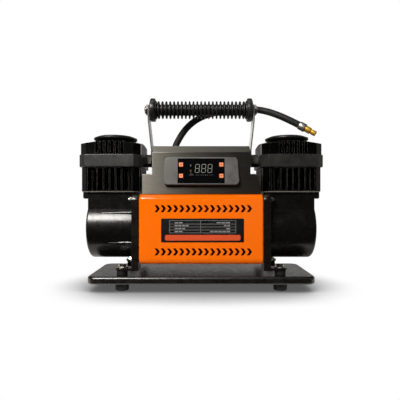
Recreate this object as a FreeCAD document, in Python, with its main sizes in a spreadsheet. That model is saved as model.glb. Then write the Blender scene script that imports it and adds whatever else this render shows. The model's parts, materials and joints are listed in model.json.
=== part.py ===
import FreeCAD, Part
import math
import os
import re
import Sketcher

# Twin stack air compressor on a folded steel tray. Millimetres, +Z up, front towards -Y.
# The origin is on the floor under the middle of the tray.

V = FreeCAD.Vector
os.makedirs("parts", exist_ok=True)
doc = FreeCAD.newDocument("compressor")

SIZES = [
    # tray, feet and mounting hardware
    ("tray_length", 310), ("tray_depth", 110), ("tray_top", 21), ("tray_skirt", 10.5),
    ("tray_corner", 13), ("tray_bend", 3.5), ("tray_sheet", 2), ("tray_lip", 5),
    ("tray_lip_round", 2.5),
    ("foot_x", 109), ("foot_y", 38), ("foot_top_radius", 10.15), ("foot_base_radius", 8.9),
    ("foot_height", 19), ("foot_round", 1.5), ("nut_recess_radius", 6), ("nut_recess_depth", 8),
    ("isolator_radius", 7.5), ("isolator_height", 7), ("bolt_radius", 3), ("bolt_hex", 5.2),
    ("bolt_head_height", 3.5), ("washer_radius", 8.2), ("washer_thick", 1), ("nut_hex", 5),
    ("nut_height", 4),
    # end plates and tie rods
    ("motor_height", 84), ("plate_inner", 85), ("plate_thick", 9.5), ("plate_half_height", 48),
    ("plate_half_depth", 50), ("plate_corner", 9), ("ear_thick", 3), ("ear_width", 18),
    ("leg_width", 22), ("tie_offset", 41), ("tie_radius", 2), ("tie_nut_hex", 3.7),
    ("tie_nut_height", 3.2), ("tie_length", 200),
    # sheet covers round the motor
    ("cover_half_length", 84.3), ("cover_half_depth", 51), ("cover_bottom", 36.6),
    ("cover_top", 132), ("cover_sheet", 1.5), ("cover_bend", 8.5), ("cover_side_round", 3),
    ("cover_lip", 5),
    ("chevron_width", 7.2), ("chevron_stroke", 3.8), ("chevron_height", 9.5),
    ("chevron_pitch", 8.28), ("chevron_start", -62.9), ("chevron_count", 16),
    ("chevron_row_top", 112.3), ("chevron_row_bottom", 54.1),
    ("slot_length", 52), ("slot_width", 4), ("slot_pitch", 9), ("slot_rows", 6),
    ("plate_left_edge", -54), ("plate_right_edge", 57.5), ("plate_low", 67), ("plate_high", 99),
    ("label_thick", 0.5), ("label_corner", 1.2),
    # motor
    ("case_outer", 40), ("case_inner", 38), ("spigot_length", 2), ("magnet_inner", 31),
    ("magnet_half_length", 36), ("magnet_angle", 140), ("core_radius", 30),
    ("core_half_length", 35), ("core_slots", 12), ("core_slot_width", 6), ("core_slot_floor", 19),
    ("winding_end", 47), ("winding_radius", 27), ("winding_gap", 0.2), ("shaft_radius", 6),
    ("shaft_end_radius", 5), ("shaft_step", 82), ("shaft_length", 236), ("running_gap", 0.05),
    ("bearing_radius", 13), ("bearing_width", 8), ("bearing_lip_radius", 9),
    ("commutator_start", 52), ("commutator_end", 66), ("commutator_radius", 12),
    ("commutator_bars", 12), ("brush_width", 8), ("brush_thick", 6), ("brush_length", 14),
    ("holder_wall", 1.5), ("holder_start", 68), ("holder_thick", 3), ("fan_start", -80),
    ("fan_depth", 14), ("fan_radius", 34), ("fan_hub", 11), ("fan_blades", 9), ("fan_wall", 1.6),
    # crankcases
    ("head_x", 126.2), ("drum_radius", 44), ("drum_inner_radius", 40), ("drum_start", 94.5),
    ("drum_end", 158.5), ("drum_wall", 4), ("drum_round", 3.5), ("neck_half_length", 32.3),
    ("neck_half_depth", 34.5), ("neck_corner", 4), ("neck_top", 125.6), ("rib_radius", 3.4),
    ("rib_tip_radius", 1.3), ("upper_rib_angle", 31), ("lower_rib_angle", 27),
    ("rib_sink", 1.2), ("rib_length", 42.5),
    ("case_cover_start", 153), ("case_cover_thick", 4), ("base_top", 135), ("base_half", 39),
    ("base_step", 132.3), ("base_round", 2.5),
    # cylinders and heads
    ("bore_radius", 20), ("liner_radius", 22), ("liner_bottom", 116), ("gasket_top", 136),
    ("gasket_tab", 42.5), ("gasket_tab_width", 14),
    ("barrel_half", 40.3), ("barrel_top", 169.6), ("barrel_core", 26), ("flange_thick", 1.2),
    ("face_half", 32.3), ("fin_pitch", 8.4), ("fin_thick", 1.8), ("short_fin_reach", 34),
    ("post_start", 30), ("band_half", 43.3), ("band_top", 187), ("band_face_half", 33.6),
    ("band_round", 1), ("valve_radius", 24), ("valve_thick", 2), ("chamber_radius", 17),
    ("chamber_top", 184), ("crown_half", 41.7), ("crown_top", 207.7), ("crown_shoulder", 202.2),
    ("crown_cone_low", 53), ("crown_cone_high", 32), ("slot_depth_y", 28.5), ("crown_slot", 3.7),
    ("crown_pitch", 6.95), ("filter_radius", 24), ("filter_floor", 192), ("cap_radius", 31.3),
    ("cap_bottom", 210.8), ("cap_top", 217), ("cap_rim", 214),
    # running gear
    ("crank_throw", 8), ("crank_start", 107), ("crank_thick", 12), ("crank_hub", 15),
    ("counterweight_radius", 28), ("counterweight_angle", 150), ("crank_pin_radius", 6),
    ("crank_pin_length", 1.8), ("rod_gap", 0.4), ("rod_width", 10), ("big_end_radius", 13),
    ("big_end_bore", 8), ("rod_depth", 14), ("rod_thick", 7), ("rod_rise", 76),
    ("piston_radius", 19.4), ("piston_thick", 4), ("cup_thick", 1.5),
    ("clamp_radius", 15), ("clamp_thick", 1.5),
    # control housing and display
    ("shoulder_half", 81), ("shoulder_top", 159.2), ("tower_half", 67.2), ("tower_top", 199),
    ("housing_half_depth", 46), ("tower_slope_back", 12.5), ("tower_slope_down", 10),
    ("housing_wall", 2), ("housing_round", 1.2), ("window_half", 40), ("window_low", 146),
    ("window_high", 180), ("panel_y", -50), ("panel_z", 163.2), ("panel_tilt", -4.5),
    ("bezel_top_half", 49.5), ("bezel_bottom_half", 52), ("bezel_half_height", 19),
    ("bezel_proud", 0.8), ("bezel_corner", 6), ("bezel_round", 1.2), ("glass_half", 31.8),
    ("glass_half_height", 17), ("glass_thick", 2), ("button_size", 6.2), ("button_gap", 0.08),
    ("button_x", 27.2), ("button_upper", 8.6), ("button_lower", -6.7), ("button_proud", 1.2),
    ("button_back", 2.8), ("button_round", 0.6), ("board_front", 4), ("board_thick", 1.6),
    ("board_half", 31), ("board_half_height", 16), ("module_left", -12), ("module_right", 19),
    ("module_low", -4), ("module_high", 11),
    # air path
    ("pipe_height", 181.5), ("pipe_radius", 5), ("pipe_bore", 3), ("pipe_inner_end", 20),
    ("pipe_outer_end", 96), ("bush_radius", 6.5), ("bush_flange_radius", 9.5),
    ("bush_flange", 3.6), ("pipe_nut_hex", 9.4), ("pipe_nut_start", 73.3), ("pipe_nut_end", 82.7),
    ("block_left", -52), ("block_right", 25), ("block_front", -9), ("block_back", 36),
    ("block_bottom", 173.5), ("block_top", 189.5), ("block_round", 2),
    ("outlet_x", -40), ("outlet_y", 27), ("outlet_stem", 5), ("outlet_hex", 7.5),
    ("outlet_hex_height", 2.4), ("outlet_start", 183), ("outlet_top", 202),
    ("hose_radius", 5), ("hose_bore", 3), ("ferrule_radius", 6), ("ferrule_length", 14),
    ("base_ferrule", 5),
    ("hose_end_x", 143), ("hose_end_y", -8), ("hose_end_z", 233.2), ("hose_end_drop", 32),
    ("hose_end_turn", 19.3),
    ("plug_radius", 4.6), ("plug_groove_radius", 3), ("plug_nose_radius", 3.8),
    ("plug_length", 17.2), ("plug_nose", 6.8), ("plug_groove", 1.8), ("plug_chamfer", 0.6),
    # folding handle
    ("grip_height", 256.8), ("grip_half", 75.6), ("grip_flange_radius", 17),
    ("grip_flange", 8), ("grip_collar_radius", 13.2), ("grip_collar", 2.2), ("grip_core", 8.15),
    ("grip_ring_radius", 13), ("grip_ring_width", 3.2), ("grip_ring_pitch", 5.7),
    ("grip_rings", 23), ("handle_rod_radius", 4), ("handle_rod_half", 82),
    ("arm_width", 24), ("arm_sheet", 2), ("arm_low_x", 71), ("arm_high_x", 75.8),
    ("arm_bottom", 172.3), ("arm_low_bend", 196), ("arm_high_bend", 240), ("arm_top", 265.4),
    ("arm_round", 11.8), ("cap_nut_hex", 8.6), ("cap_nut_length", 3.4), ("cap_nut_dome", 6.4),
    # rear power socket and small screws
    ("socket_x", 52), ("socket_z", 62), ("socket_radius", 12), ("socket_length", 4),
    ("socket_pin_radius", 3), ("screw_radius", 3), ("screw_height", 2), ("cover_screws_ring", 33),
    ("shoulder_screw_x", 75), ("shoulder_screw_y", 20),
]

sheet = doc.addObject("Spreadsheet::Sheet", "Sizes")
for row, (alias, number) in enumerate(SIZES, start=1):
    sheet.set("A%d" % row, alias)
    sheet.set("B%d" % row, str(number))
    sheet.setAlias("B%d" % row, alias)
doc.recompute()

ALIASES = {alias for alias, number in SIZES}
nodes = []


def size(alias):
    """The number behind one alias of the sheet."""
    return float(sheet.get(alias))


def bound(expression):
    """An expression in bare aliases, pointed at the sheet."""
    return re.sub(r"[a-z_]+", lambda m: "Sizes." + m.group(0) if m.group(0) in ALIASES
                  else m.group(0), str(expression))


def bind(thing, **expressions):
    for name, expression in expressions.items():
        thing.setExpression(name, bound(expression))
    return thing


def place(thing, x="0", y="0", z="0"):
    for letter, expression in zip("xyz", (x, y, z)):
        thing.setExpression("Placement.Base." + letter, bound(expression))
    return thing


def node(label, thing):
    """Name a finished sub-part; its label becomes its file name."""
    thing.Label = label
    nodes.append(thing)
    return thing


# ---- primitives, each between two places along its axis ----

def box(name, x0, x1, y0, y1, z0, z1):
    thing = doc.addObject("Part::Box", name)
    bind(thing, Length="(%s) - (%s)" % (x1, x0), Width="(%s) - (%s)" % (y1, y0),
         Height="(%s) - (%s)" % (z1, z0))
    return place(thing, x0, y0, z0)


TURNS = {
    "x": FreeCAD.Rotation(V(0, 1, 0), 90),
    "y": FreeCAD.Rotation(V(1, 0, 0), -90),
    "z": FreeCAD.Rotation(),
}


def along(thing, axis, start, first, second):
    """Stand a primitive on an axis; first and second are its other two coordinates."""
    thing.Placement = FreeCAD.Placement(V(), TURNS[axis])
    spots = {"x": (start, first, second), "y": (first, start, second), "z": (first, second, start)}
    return place(thing, *spots[axis])


def cylinder(name, axis, radius, start, end, first="0", second="0"):
    thing = bind(doc.addObject("Part::Cylinder", name), Radius=radius,
                 Height="(%s) - (%s)" % (end, start))
    return along(thing, axis, start, first, second)


def cone(name, axis, radius_start, radius_end, start, end, first="0", second="0"):
    thing = bind(doc.addObject("Part::Cone", name), Radius1=radius_start, Radius2=radius_end,
                 Height="(%s) - (%s)" % (end, start))
    return along(thing, axis, start, first, second)


def hexagon(name, axis, corner, start, end, first="0", second="0"):
    thing = bind(doc.addObject("Part::Prism", name), Circumradius=corner,
                 Height="(%s) - (%s)" % (end, start))
    return along(thing, axis, start, first, second)


# ---- combinations ----

def fuse(name, things):
    result = doc.addObject("Part::MultiFuse", name)
    result.Shapes = things
    result.Refine = True
    return result


def common(name, first, second):
    result = doc.addObject("Part::Common", name)
    result.Base, result.Tool = first, second
    return result


def cut(name, base, tools):
    result = doc.addObject("Part::Cut", name)
    result.Base = base
    result.Tool = tools[0] if len(tools) == 1 else fuse(name + "_tools", tools)
    return result


def group(name, things):
    result = doc.addObject("Part::Compound", name)
    result.Links = things
    return result


def mirrored(name, source):
    """The same piece on the other side of the middle plane."""
    result = doc.addObject("Part::Mirroring", name)
    result.Source = source
    result.Normal = V(1, 0, 0)
    return result


# ---- sketched bodies ----

def new_body(name):
    return doc.addObject("PartDesign::Body", name)


def new_sketch(body, name, role, offset="0"):
    sketch = body.newObject("Sketcher::SketchObject", name)
    plane = [item for item in body.Origin.OriginFeatures if item.Role == role][0]
    sketch.AttachmentSupport = [(plane, "")]
    sketch.MapMode = "FlatFace"
    sketch.setExpression("AttachmentOffset.Base.z", bound(offset))
    return sketch


def outline(sketch, corners):
    """A closed outline through corners given as pairs of expressions."""
    count = len(corners)
    first = sketch.GeometryCount
    start = [V(math.cos(math.tau * i / count), math.sin(math.tau * i / count), 0)
             for i in range(count)]
    for i in range(count):
        sketch.addGeometry(Part.LineSegment(start[i], start[(i + 1) % count]), False)
    for i in range(count):
        sketch.addConstraint(Sketcher.Constraint("Coincident", first + i, 2,
                                                 first + (i + 1) % count, 1))
    for i, (across, up) in enumerate(corners):
        for kind, expression, now in (("DistanceX", across, start[i].x),
                                      ("DistanceY", up, start[i].y)):
            index = sketch.addConstraint(Sketcher.Constraint(kind, -1, 1, first + i, 1, now))
            sketch.setExpression("Constraints[%d]" % index, bound(expression))
    return sketch


def rectangle(sketch, left, right, low, high):
    return outline(sketch, [(left, low), (right, low), (right, high), (left, high)])


def pad(body, sketch, length, midplane=False):
    feature = body.newObject("PartDesign::Pad", sketch.Name + "_pad")
    feature.Profile = sketch
    feature.Midplane = midplane
    return bind(feature, Length=length)


def pocket(body, sketch, length, midplane=False, reverse=False):
    feature = body.newObject("PartDesign::Pocket", sketch.Name + "_pocket")
    feature.Profile = sketch
    feature.Midplane = midplane
    feature.Reversed = reverse
    return bind(feature, Length=length)


def revolve(body, sketch, axis="H_Axis"):
    feature = body.newObject("PartDesign::Revolution", sketch.Name + "_turn")
    feature.Profile = sketch
    feature.ReferenceAxis = (sketch, [axis])
    feature.Angle = 360
    return feature


def repeat(body, feature, sketch, axis, pitch, count):
    """Repeat a feature in a line at a fixed pitch."""
    pattern = body.newObject("PartDesign::LinearPattern", feature.Name + "_row")
    pattern.Originals = [feature]
    pattern.Direction = (sketch, [axis])
    pattern.Occurrences = count
    bind(pattern, Length="(%s) * %d" % (pitch, count - 1))
    body.Tip = pattern
    return pattern


def round_edges(body, name, chosen, radius):
    """Round the edges of a body's tip that a test picks out."""
    doc.recompute()
    tip = body.Tip
    picked = ["Edge%d" % (i + 1) for i, edge in enumerate(tip.Shape.Edges) if chosen(edge)]
    fillet = body.newObject("PartDesign::Fillet", name)
    fillet.Base = (tip, picked)
    bind(fillet, Radius=radius)
    doc.recompute()
    return fillet


def runs(edge, axis):
    """True for a straight edge along one axis."""
    if len(edge.Vertexes) != 2:
        return False
    step = (edge.Vertexes[1].Point - edge.Vertexes[0].Point)
    return abs(step.normalize().dot(axis)) > 0.999 if step.Length > 1e-6 else False


X, Y, Z = V(1, 0, 0), V(0, 1, 0), V(0, 0, 1)


# ---- base: tray, feet, isolators and the bolts through them ----

def foot_places():
    return [(sx + "foot_x", sy + "foot_y") for sx in ("-", "") for sy in ("-", "")]


def tray_block(name, inset, low, high):
    """A block with the tray's outline, shrunk on its four sides."""
    body = new_body(name)
    plan = new_sketch(body, name + "Plan", "XY_Plane", low)
    long_half, short_half = "tray_length / 2 - (%s)" % inset, "tray_depth / 2 - (%s)" % inset
    rectangle(plan, "-(%s)" % long_half, long_half, "-(%s)" % short_half, short_half)
    pad(body, plan, "(%s) - (%s)" % (high, low))
    round_edges(body, name + "Corners", lambda e: runs(e, Z), "tray_corner - (%s)" % inset)
    return body


def make_base_tray():
    """A folded tray: flat top, rounded skirt and a narrow lip turned in under it."""
    floor, roof = "tray_top - tray_skirt", "tray_top - tray_sheet"
    outer = tray_block("Tray", "0", floor, "tray_top")
    top, low = size("tray_top"), size("tray_top") - size("tray_skirt")
    round_edges(outer, "TrayFold", lambda e: all(abs(v.Z - top) < 1e-4 for v in e.Vertexes),
                "tray_bend")
    round_edges(outer, "TrayLipFold", lambda e: all(abs(v.Z - low) < 1e-4 for v in e.Vertexes),
                "tray_lip_round")
    inside = tray_block("TrayInside", "tray_sheet", floor + " + tray_sheet", roof)
    ceiling = size("tray_top") - size("tray_sheet")
    round_edges(inside, "HollowFold",
                lambda e: all(abs(v.Z - ceiling) < 1e-4 for v in e.Vertexes),
                "tray_bend - tray_sheet")
    opening = tray_block("TrayOpening", "tray_lip", floor + " - 1", roof + " - tray_bend")
    holes = [cylinder("TrayHole%d" % i, "z", "bolt_radius", "tray_top - 5", "tray_top + 1", x, y)
             for i, (x, y) in enumerate(foot_places())]
    node("base_tray", cut("BaseTray", outer, [inside, opening] + holes))


def make_feet():
    feet = []
    for i, (x, y) in enumerate(foot_places()):
        body = new_body("Foot%d" % i)
        profile = new_sketch(body, "FootProfile%d" % i, "XZ_Plane")
        outline(profile, [
            ("bolt_radius", "nut_recess_depth"), ("nut_recess_radius", "nut_recess_depth"),
            ("nut_recess_radius", "0"), ("foot_base_radius", "0"),
            ("foot_top_radius", "foot_height"), ("bolt_radius", "foot_height")])
        revolve(body, profile, "V_Axis")
        outer = size("foot_base_radius")
        round_edges(body, "FootRound%d" % i,
                    lambda e: abs(e.BoundBox.ZMax) < 1e-4 and e.BoundBox.XLength > 2 * outer - 0.1,
                    "foot_round")
        feet.append(place(body, x, y, "0"))
    node("rubber_feet", group("RubberFeet", feet))


def make_isolators():
    mounts = []
    for i, (x, y) in enumerate(foot_places()):
        body = new_body("Isolator%d" % i)
        profile = new_sketch(body, "IsolatorProfile%d" % i, "XZ_Plane")
        outline(profile, [
            ("bolt_radius", "0"), ("isolator_radius", "0"),
            ("isolator_radius", "isolator_height"), ("bolt_radius", "isolator_height")])
        revolve(body, profile, "V_Axis")
        round_edges(body, "IsolatorRound%d" % i, lambda e: e.BoundBox.XLength > 10, "0.8")
        mounts.append(place(body, x, y, "tray_top"))
    node("isolators", group("Isolators", mounts))


EAR_TOP = "tray_top + isolator_height + ear_thick"


def make_mount_bolts():
    pieces = []
    for i, (x, y) in enumerate(foot_places()):
        shank = cylinder("MountShank%d" % i, "z", "bolt_radius", "1.5",
                         EAR_TOP + " + washer_thick", x, y)
        head = hexagon("MountHead%d" % i, "z", "bolt_hex", EAR_TOP + " + washer_thick",
                       EAR_TOP + " + washer_thick + bolt_head_height", x, y)
        pieces.append(fuse("MountBolt%d" % i, [shank, head]))
        ring = cylinder("WasherDisc%d" % i, "z", "washer_radius", EAR_TOP,
                        EAR_TOP + " + washer_thick", x, y)
        hole = cylinder("WasherHole%d" % i, "z", "bolt_radius", EAR_TOP + " - 1",
                        EAR_TOP + " + 3", x, y)
        pieces.append(cut("Washer%d" % i, ring, [hole]))
        nut = hexagon("NutHex%d" % i, "z", "nut_hex", "nut_recess_depth - nut_height",
                      "nut_recess_depth", x, y)
        thread = cylinder("NutHole%d" % i, "z", "bolt_radius", "0", "nut_recess_depth + 1", x, y)
        pieces.append(cut("Nut%d" % i, nut, [thread]))
    node("mount_bolts", group("MountBolts", pieces))


# ---- end plates and the tie rods that clamp the motor between them ----

def tie_places():
    return [(y, "motor_height " + z) for y in ("-tie_offset", "tie_offset")
            for z in ("- tie_offset", "+ tie_offset")]


def make_end_plates():
    body = new_body("EndPlateBlank")
    face = new_sketch(body, "EndPlateFace", "YZ_Plane", "plate_inner")
    rectangle(face, "-plate_half_depth", "plate_half_depth", "motor_height - plate_half_height",
              "motor_height + plate_half_height")
    pad(body, face, "plate_thick")
    round_edges(body, "EndPlateCorners", lambda e: runs(e, X), "plate_corner")
    added = [body]
    for i, y in enumerate(("-foot_y", "foot_y")):
        added.append(box("EndLeg%d" % i, "plate_inner", "plate_inner + plate_thick",
                         y + " - leg_width / 2", y + " + leg_width / 2",
                         "tray_top + isolator_height",
                         "motor_height - plate_half_height + plate_corner"))
        added.append(box("EndEar%d" % i, "plate_inner", "foot_x", y + " - ear_width / 2",
                         y + " + ear_width / 2", "tray_top + isolator_height", EAR_TOP))
        added.append(cylinder("EarTip%d" % i, "z", "ear_width / 2",
                              "tray_top + isolator_height", EAR_TOP, "foot_x", y))
    added.append(cylinder("Spigot", "x", "case_inner", "plate_inner - spigot_length",
                          "plate_inner + 1", "0", "motor_height"))
    removed = [
        cylinder("BearingPocket", "x", "bearing_radius", "plate_inner - spigot_length - 1",
                 "plate_inner + bearing_width", "0", "motor_height"),
        cylinder("ShaftHole", "x", "bearing_lip_radius", "plate_inner",
                 "plate_inner + plate_thick + 1", "0", "motor_height"),
    ]
    for i, (y, z) in enumerate(tie_places()):
        removed.append(cylinder("TieHole%d" % i, "x", "tie_radius", "plate_inner - 1",
                                "plate_inner + plate_thick + 1", y, z))
    for i, y in enumerate(("-foot_y", "foot_y")):
        removed.append(cylinder("EarHole%d" % i, "z", "bolt_radius", "tray_top", EAR_TOP + " + 1",
                                "foot_x", y))
    right = cut("EndPlateRight", fuse("EndPlateSolid", added), removed)
    node("end_plate_right", right)
    node("end_plate_left", mirrored("EndPlateLeft", right))


def make_tie_rods():
    pieces = []
    for i, (y, z) in enumerate(tie_places()):
        pieces.append(cylinder("TieRod%d" % i, "x", "tie_radius", "-tie_length / 2",
                               "tie_length / 2", y, z))
        outer = "plate_inner + plate_thick"
        for side, start, end in (("Right", outer, outer + " + tie_nut_height"),
                                 ("Left", "-%s - tie_nut_height" % outer.replace("+", "-"),
                                  "-" + outer.replace("+", "-"))):
            nut = hexagon("TieNutHex%s%d" % (side, i), "x", "tie_nut_hex", start, end, y, z)
            hole = cylinder("TieNutHole%s%d" % (side, i), "x", "tie_radius", start + " - 1",
                            end + " + 1", y, z)
            pieces.append(cut("TieNut%s%d" % (side, i), nut, [hole]))
    node("tie_rods", group("TieRods", pieces))


# ---- front and rear covers ----

def cover_solid(name, side, inset):
    """A rounded block that fills one half of the cover, shrunk by the sheet's inset."""
    body = new_body(name)
    plan = new_sketch(body, name + "Side", "YZ_Plane")
    front = "%scover_half_depth %s (%s)" % (side, "+" if side == "-" else "-", inset)
    low, high = "cover_bottom + (%s)" % inset, "cover_top - (%s)" % inset
    rectangle(plan, front, "0", low, high)
    pad(body, plan, "2 * (cover_half_length - (%s))" % inset, midplane=True)
    near = -1 if side == "-" else 1
    round_edges(body, name + "Bend",
                lambda e: runs(e, X) and near * e.BoundBox.Center.y > 10,
                "cover_bend - (%s)" % inset)
    reach = size("cover_half_depth") - 6
    round_edges(body, name + "Sides",
                lambda e: near * e.BoundBox.Center.y > 0 and e.BoundBox.XLength < 0.1
                and near * e.BoundBox.Center.y + e.BoundBox.YLength / 2 > reach,
                "cover_side_round - (%s)" % inset)
    return body


def cover_shell(name, side):
    """Sheet cover: block, less the inside, less the side walls behind the lips."""
    outer = cover_solid(name + "Outer", side, "0")
    inner = cover_solid(name + "Inner", side, "cover_sheet")
    near, far = ("-cover_half_depth + cover_lip", "1") if side == "-" else (
        "-1", "cover_half_depth - cover_lip")
    cheeks = box(name + "Cheeks", "-cover_half_length - 1", "cover_half_length + 1", near, far,
                 "cover_bottom + cover_sheet", "cover_top - cover_sheet")
    return outer, inner, cheeks


def chevron_row(body, name, height):
    """A row of arrow-shaped vents, each one outline repeated along the cover."""
    sketch = new_sketch(body, name, "XZ_Plane", "cover_half_depth + 1")
    lean = "chevron_width - chevron_stroke"
    half = "chevron_height / 2"
    outline(sketch, [
        ("chevron_start", "%s - %s" % (height, half)),
        ("chevron_start + chevron_stroke", "%s - %s" % (height, half)),
        ("chevron_start + chevron_width", height),
        ("chevron_start + chevron_stroke", "%s + %s" % (height, half)),
        ("chevron_start", "%s + %s" % (height, half)),
        ("chevron_start + %s" % lean, height)])
    feature = pad(body, sketch, "cover_sheet + 2")
    feature.Reversed = True
    return repeat(body, feature, sketch, "H_Axis", "chevron_pitch", int(size("chevron_count")))


def make_front_cover():
    outer, inner, cheeks = cover_shell("Front", "-")
    cutters = [inner, cheeks]
    for name, height in (("ChevronsTop", "chevron_row_top"), ("ChevronsLow", "chevron_row_bottom")):
        body = new_body(name)
        body.AllowCompound = True
        chevron_row(body, name + "Sketch", height)
        cutters.append(body)
    node("front_cover", cut("FrontCover", outer, cutters))


def make_rear_cover():
    outer, inner, cheeks = cover_shell("Rear", "")
    cutters = [inner, cheeks]
    for row in range(int(size("slot_rows"))):
        for column in (-1, 0, 1):
            middle = "%d * (slot_length + 2)" % column
            if column == 1 and row < 3:
                continue
            height = "motor_height + (%d - (slot_rows - 1) / 2) * slot_pitch" % row
            cutters.append(box("RearSlot%d_%d" % (row, column + 1),
                               middle + " - slot_length / 2 + 2", middle + " + slot_length / 2 - 2",
                               "cover_half_depth - 4", "cover_half_depth + 1",
                               height + " - slot_width / 2", height + " + slot_width / 2"))
    cutters.append(cylinder("SocketHole", "y", "socket_radius - 3", "cover_half_depth - 4",
                            "cover_half_depth + 1", "socket_x", "socket_z"))
    node("rear_cover", cut("RearCover", outer, cutters))


def make_rating_plate():
    body = new_body("RatingPlate")
    face = new_sketch(body, "RatingFace", "XZ_Plane", "cover_half_depth")
    rectangle(face, "plate_left_edge", "plate_right_edge", "plate_low", "plate_high")
    pad(body, face, "label_thick")
    round_edges(body, "RatingCorners", lambda e: runs(e, Y), "label_corner")
    node("rating_plate", body)


def make_power_socket():
    flange = cylinder("SocketFlange", "y", "socket_radius", "cover_half_depth",
                      "cover_half_depth + 3", "socket_x", "socket_z")
    barrel = cylinder("SocketBarrel", "y", "socket_radius - 3", "cover_half_depth - 4",
                      "cover_half_depth + socket_length", "socket_x", "socket_z")
    holes = [cylinder("SocketPin%d" % i, "y", "socket_pin_radius - 1",
                      "cover_half_depth + 2", "cover_half_depth + socket_length + 1",
                      "socket_x + %d * socket_pin_radius * 1.2" % (2 * i - 1), "socket_z")
             for i in range(2)]
    node("power_socket", cut("PowerSocket", fuse("SocketSolid", [flange, barrel]), holes))


# ---- motor ----

def ring(name, axis, outer, inner, start, end, first="0", second="0"):
    disc = cylinder(name + "Disc", axis, outer, start, end, first, second)
    hole = cylinder(name + "Hole", axis, inner, "(%s) - 1" % start, "(%s) + 1" % end, first, second)
    return cut(name, disc, [hole])


def make_motor_case():
    node("motor_case", ring("MotorCase", "x", "case_outer", "case_inner", "-plate_inner",
                            "plate_inner", "0", "motor_height"))


def make_field_magnets():
    pieces = []
    for i in range(2):
        arc = cylinder("MagnetArc%d" % i, "x", "case_inner", "-magnet_half_length",
                       "magnet_half_length", "0", "motor_height")
        arc.setExpression("Angle", bound("magnet_angle"))
        turn = 180 * i + 90 - size("magnet_angle") / 2
        arc.Placement.Rotation = FreeCAD.Rotation(X, turn).multiply(TURNS["x"])
        place(arc, "-magnet_half_length", "0", "motor_height")
        bore = cylinder("MagnetBore%d" % i, "x", "magnet_inner", "-magnet_half_length - 1",
                        "magnet_half_length + 1", "0", "motor_height")
        pieces.append(cut("Magnet%d" % i, arc, [bore]))
    node("field_magnets", group("FieldMagnets", pieces))


def make_bearings():
    inner, outer = "plate_inner", "plate_inner + bearing_width"
    right = ring("BearingRight", "x", "bearing_radius", "shaft_end_radius + running_gap", inner,
                 outer, "0", "motor_height")
    node("shaft_bearings", group("ShaftBearings", [right, mirrored("BearingLeft", right)]))


def make_motor_shaft():
    body = new_body("MotorShaft")
    profile = new_sketch(body, "ShaftProfile", "XZ_Plane")
    end = "shaft_length / 2"
    outline(profile, [
        ("-" + end, "0"), (end, "0"), (end, "shaft_end_radius"), ("shaft_step", "shaft_end_radius"),
        ("shaft_step", "shaft_radius"), ("-shaft_step", "shaft_radius"),
        ("-shaft_step", "shaft_end_radius"), ("-" + end, "shaft_end_radius")])
    revolve(body, profile)
    node("motor_shaft", place(body, "0", "0", "motor_height"))


def turned_box(name, count, number, x0, x1, half_width, r0, r1):
    """One of a ring of boxes that stand out from the shaft."""
    angle = 360.0 * number / count
    thing = bind(doc.addObject("Part::Box", name), Length="(%s) - (%s)" % (x1, x0),
                 Width="2 * (%s)" % half_width, Height="(%s) - (%s)" % (r1, r0))
    turn = math.radians(angle)
    thing.Placement = FreeCAD.Placement(V(), FreeCAD.Rotation(X, angle))
    across = "(%s) * %.9f - (%s) * %.9f" % ("-(" + half_width + ")", math.cos(turn), r0,
                                            math.sin(turn))
    rise = "(%s) * %.9f + (%s) * %.9f" % ("-(" + half_width + ")", math.sin(turn), r0,
                                          math.cos(turn))
    return place(thing, x0, across, "motor_height + " + rise)


def make_armature():
    count = int(size("core_slots"))
    blank = cylinder("CoreBlank", "x", "core_radius", "-core_half_length", "core_half_length", "0",
                     "motor_height")
    removed = [cylinder("CoreBore", "x", "shaft_radius", "-core_half_length - 1",
                        "core_half_length + 1", "0", "motor_height")]
    for i in range(count):
        removed.append(turned_box("CoreSlot%d" % i, count, i, "-core_half_length - 1",
                                  "core_half_length + 1", "core_slot_width / 2",
                                  "core_slot_floor", "core_radius + 2"))
    node("armature_core", cut("ArmatureCore", blank, removed))
    bars = []
    for i in range(count):
        bars.append(turned_box("CoilBar%d" % i, count, i, "-core_half_length - 1",
                               "core_half_length + 1", "core_slot_width / 2 - winding_gap",
                               "core_slot_floor + winding_gap", "winding_radius"))
    for side in ("", "-"):
        low, high = ("core_half_length + winding_gap", "winding_end")
        if side:
            low, high = "-winding_end", "-core_half_length - winding_gap"
        bars.append(ring("CoilEnd" + ("Left" if side else "Right"), "x", "winding_radius",
                         "shaft_radius + 4", low, high, "0", "motor_height"))
    node("armature_windings", fuse("ArmatureWindings", bars))


def make_commutator():
    count = int(size("commutator_bars"))
    blank = ring("CommutatorBlank", "x", "commutator_radius", "shaft_radius", "commutator_start",
                 "commutator_end", "0", "motor_height")
    gaps = [turned_box("CommutatorGap%d" % i, count, i, "commutator_start - 1",
                       "commutator_end + 1", "0.3", "commutator_radius - 2",
                       "commutator_radius + 1") for i in range(count)]
    node("commutator", cut("Commutator", blank, gaps))


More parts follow.
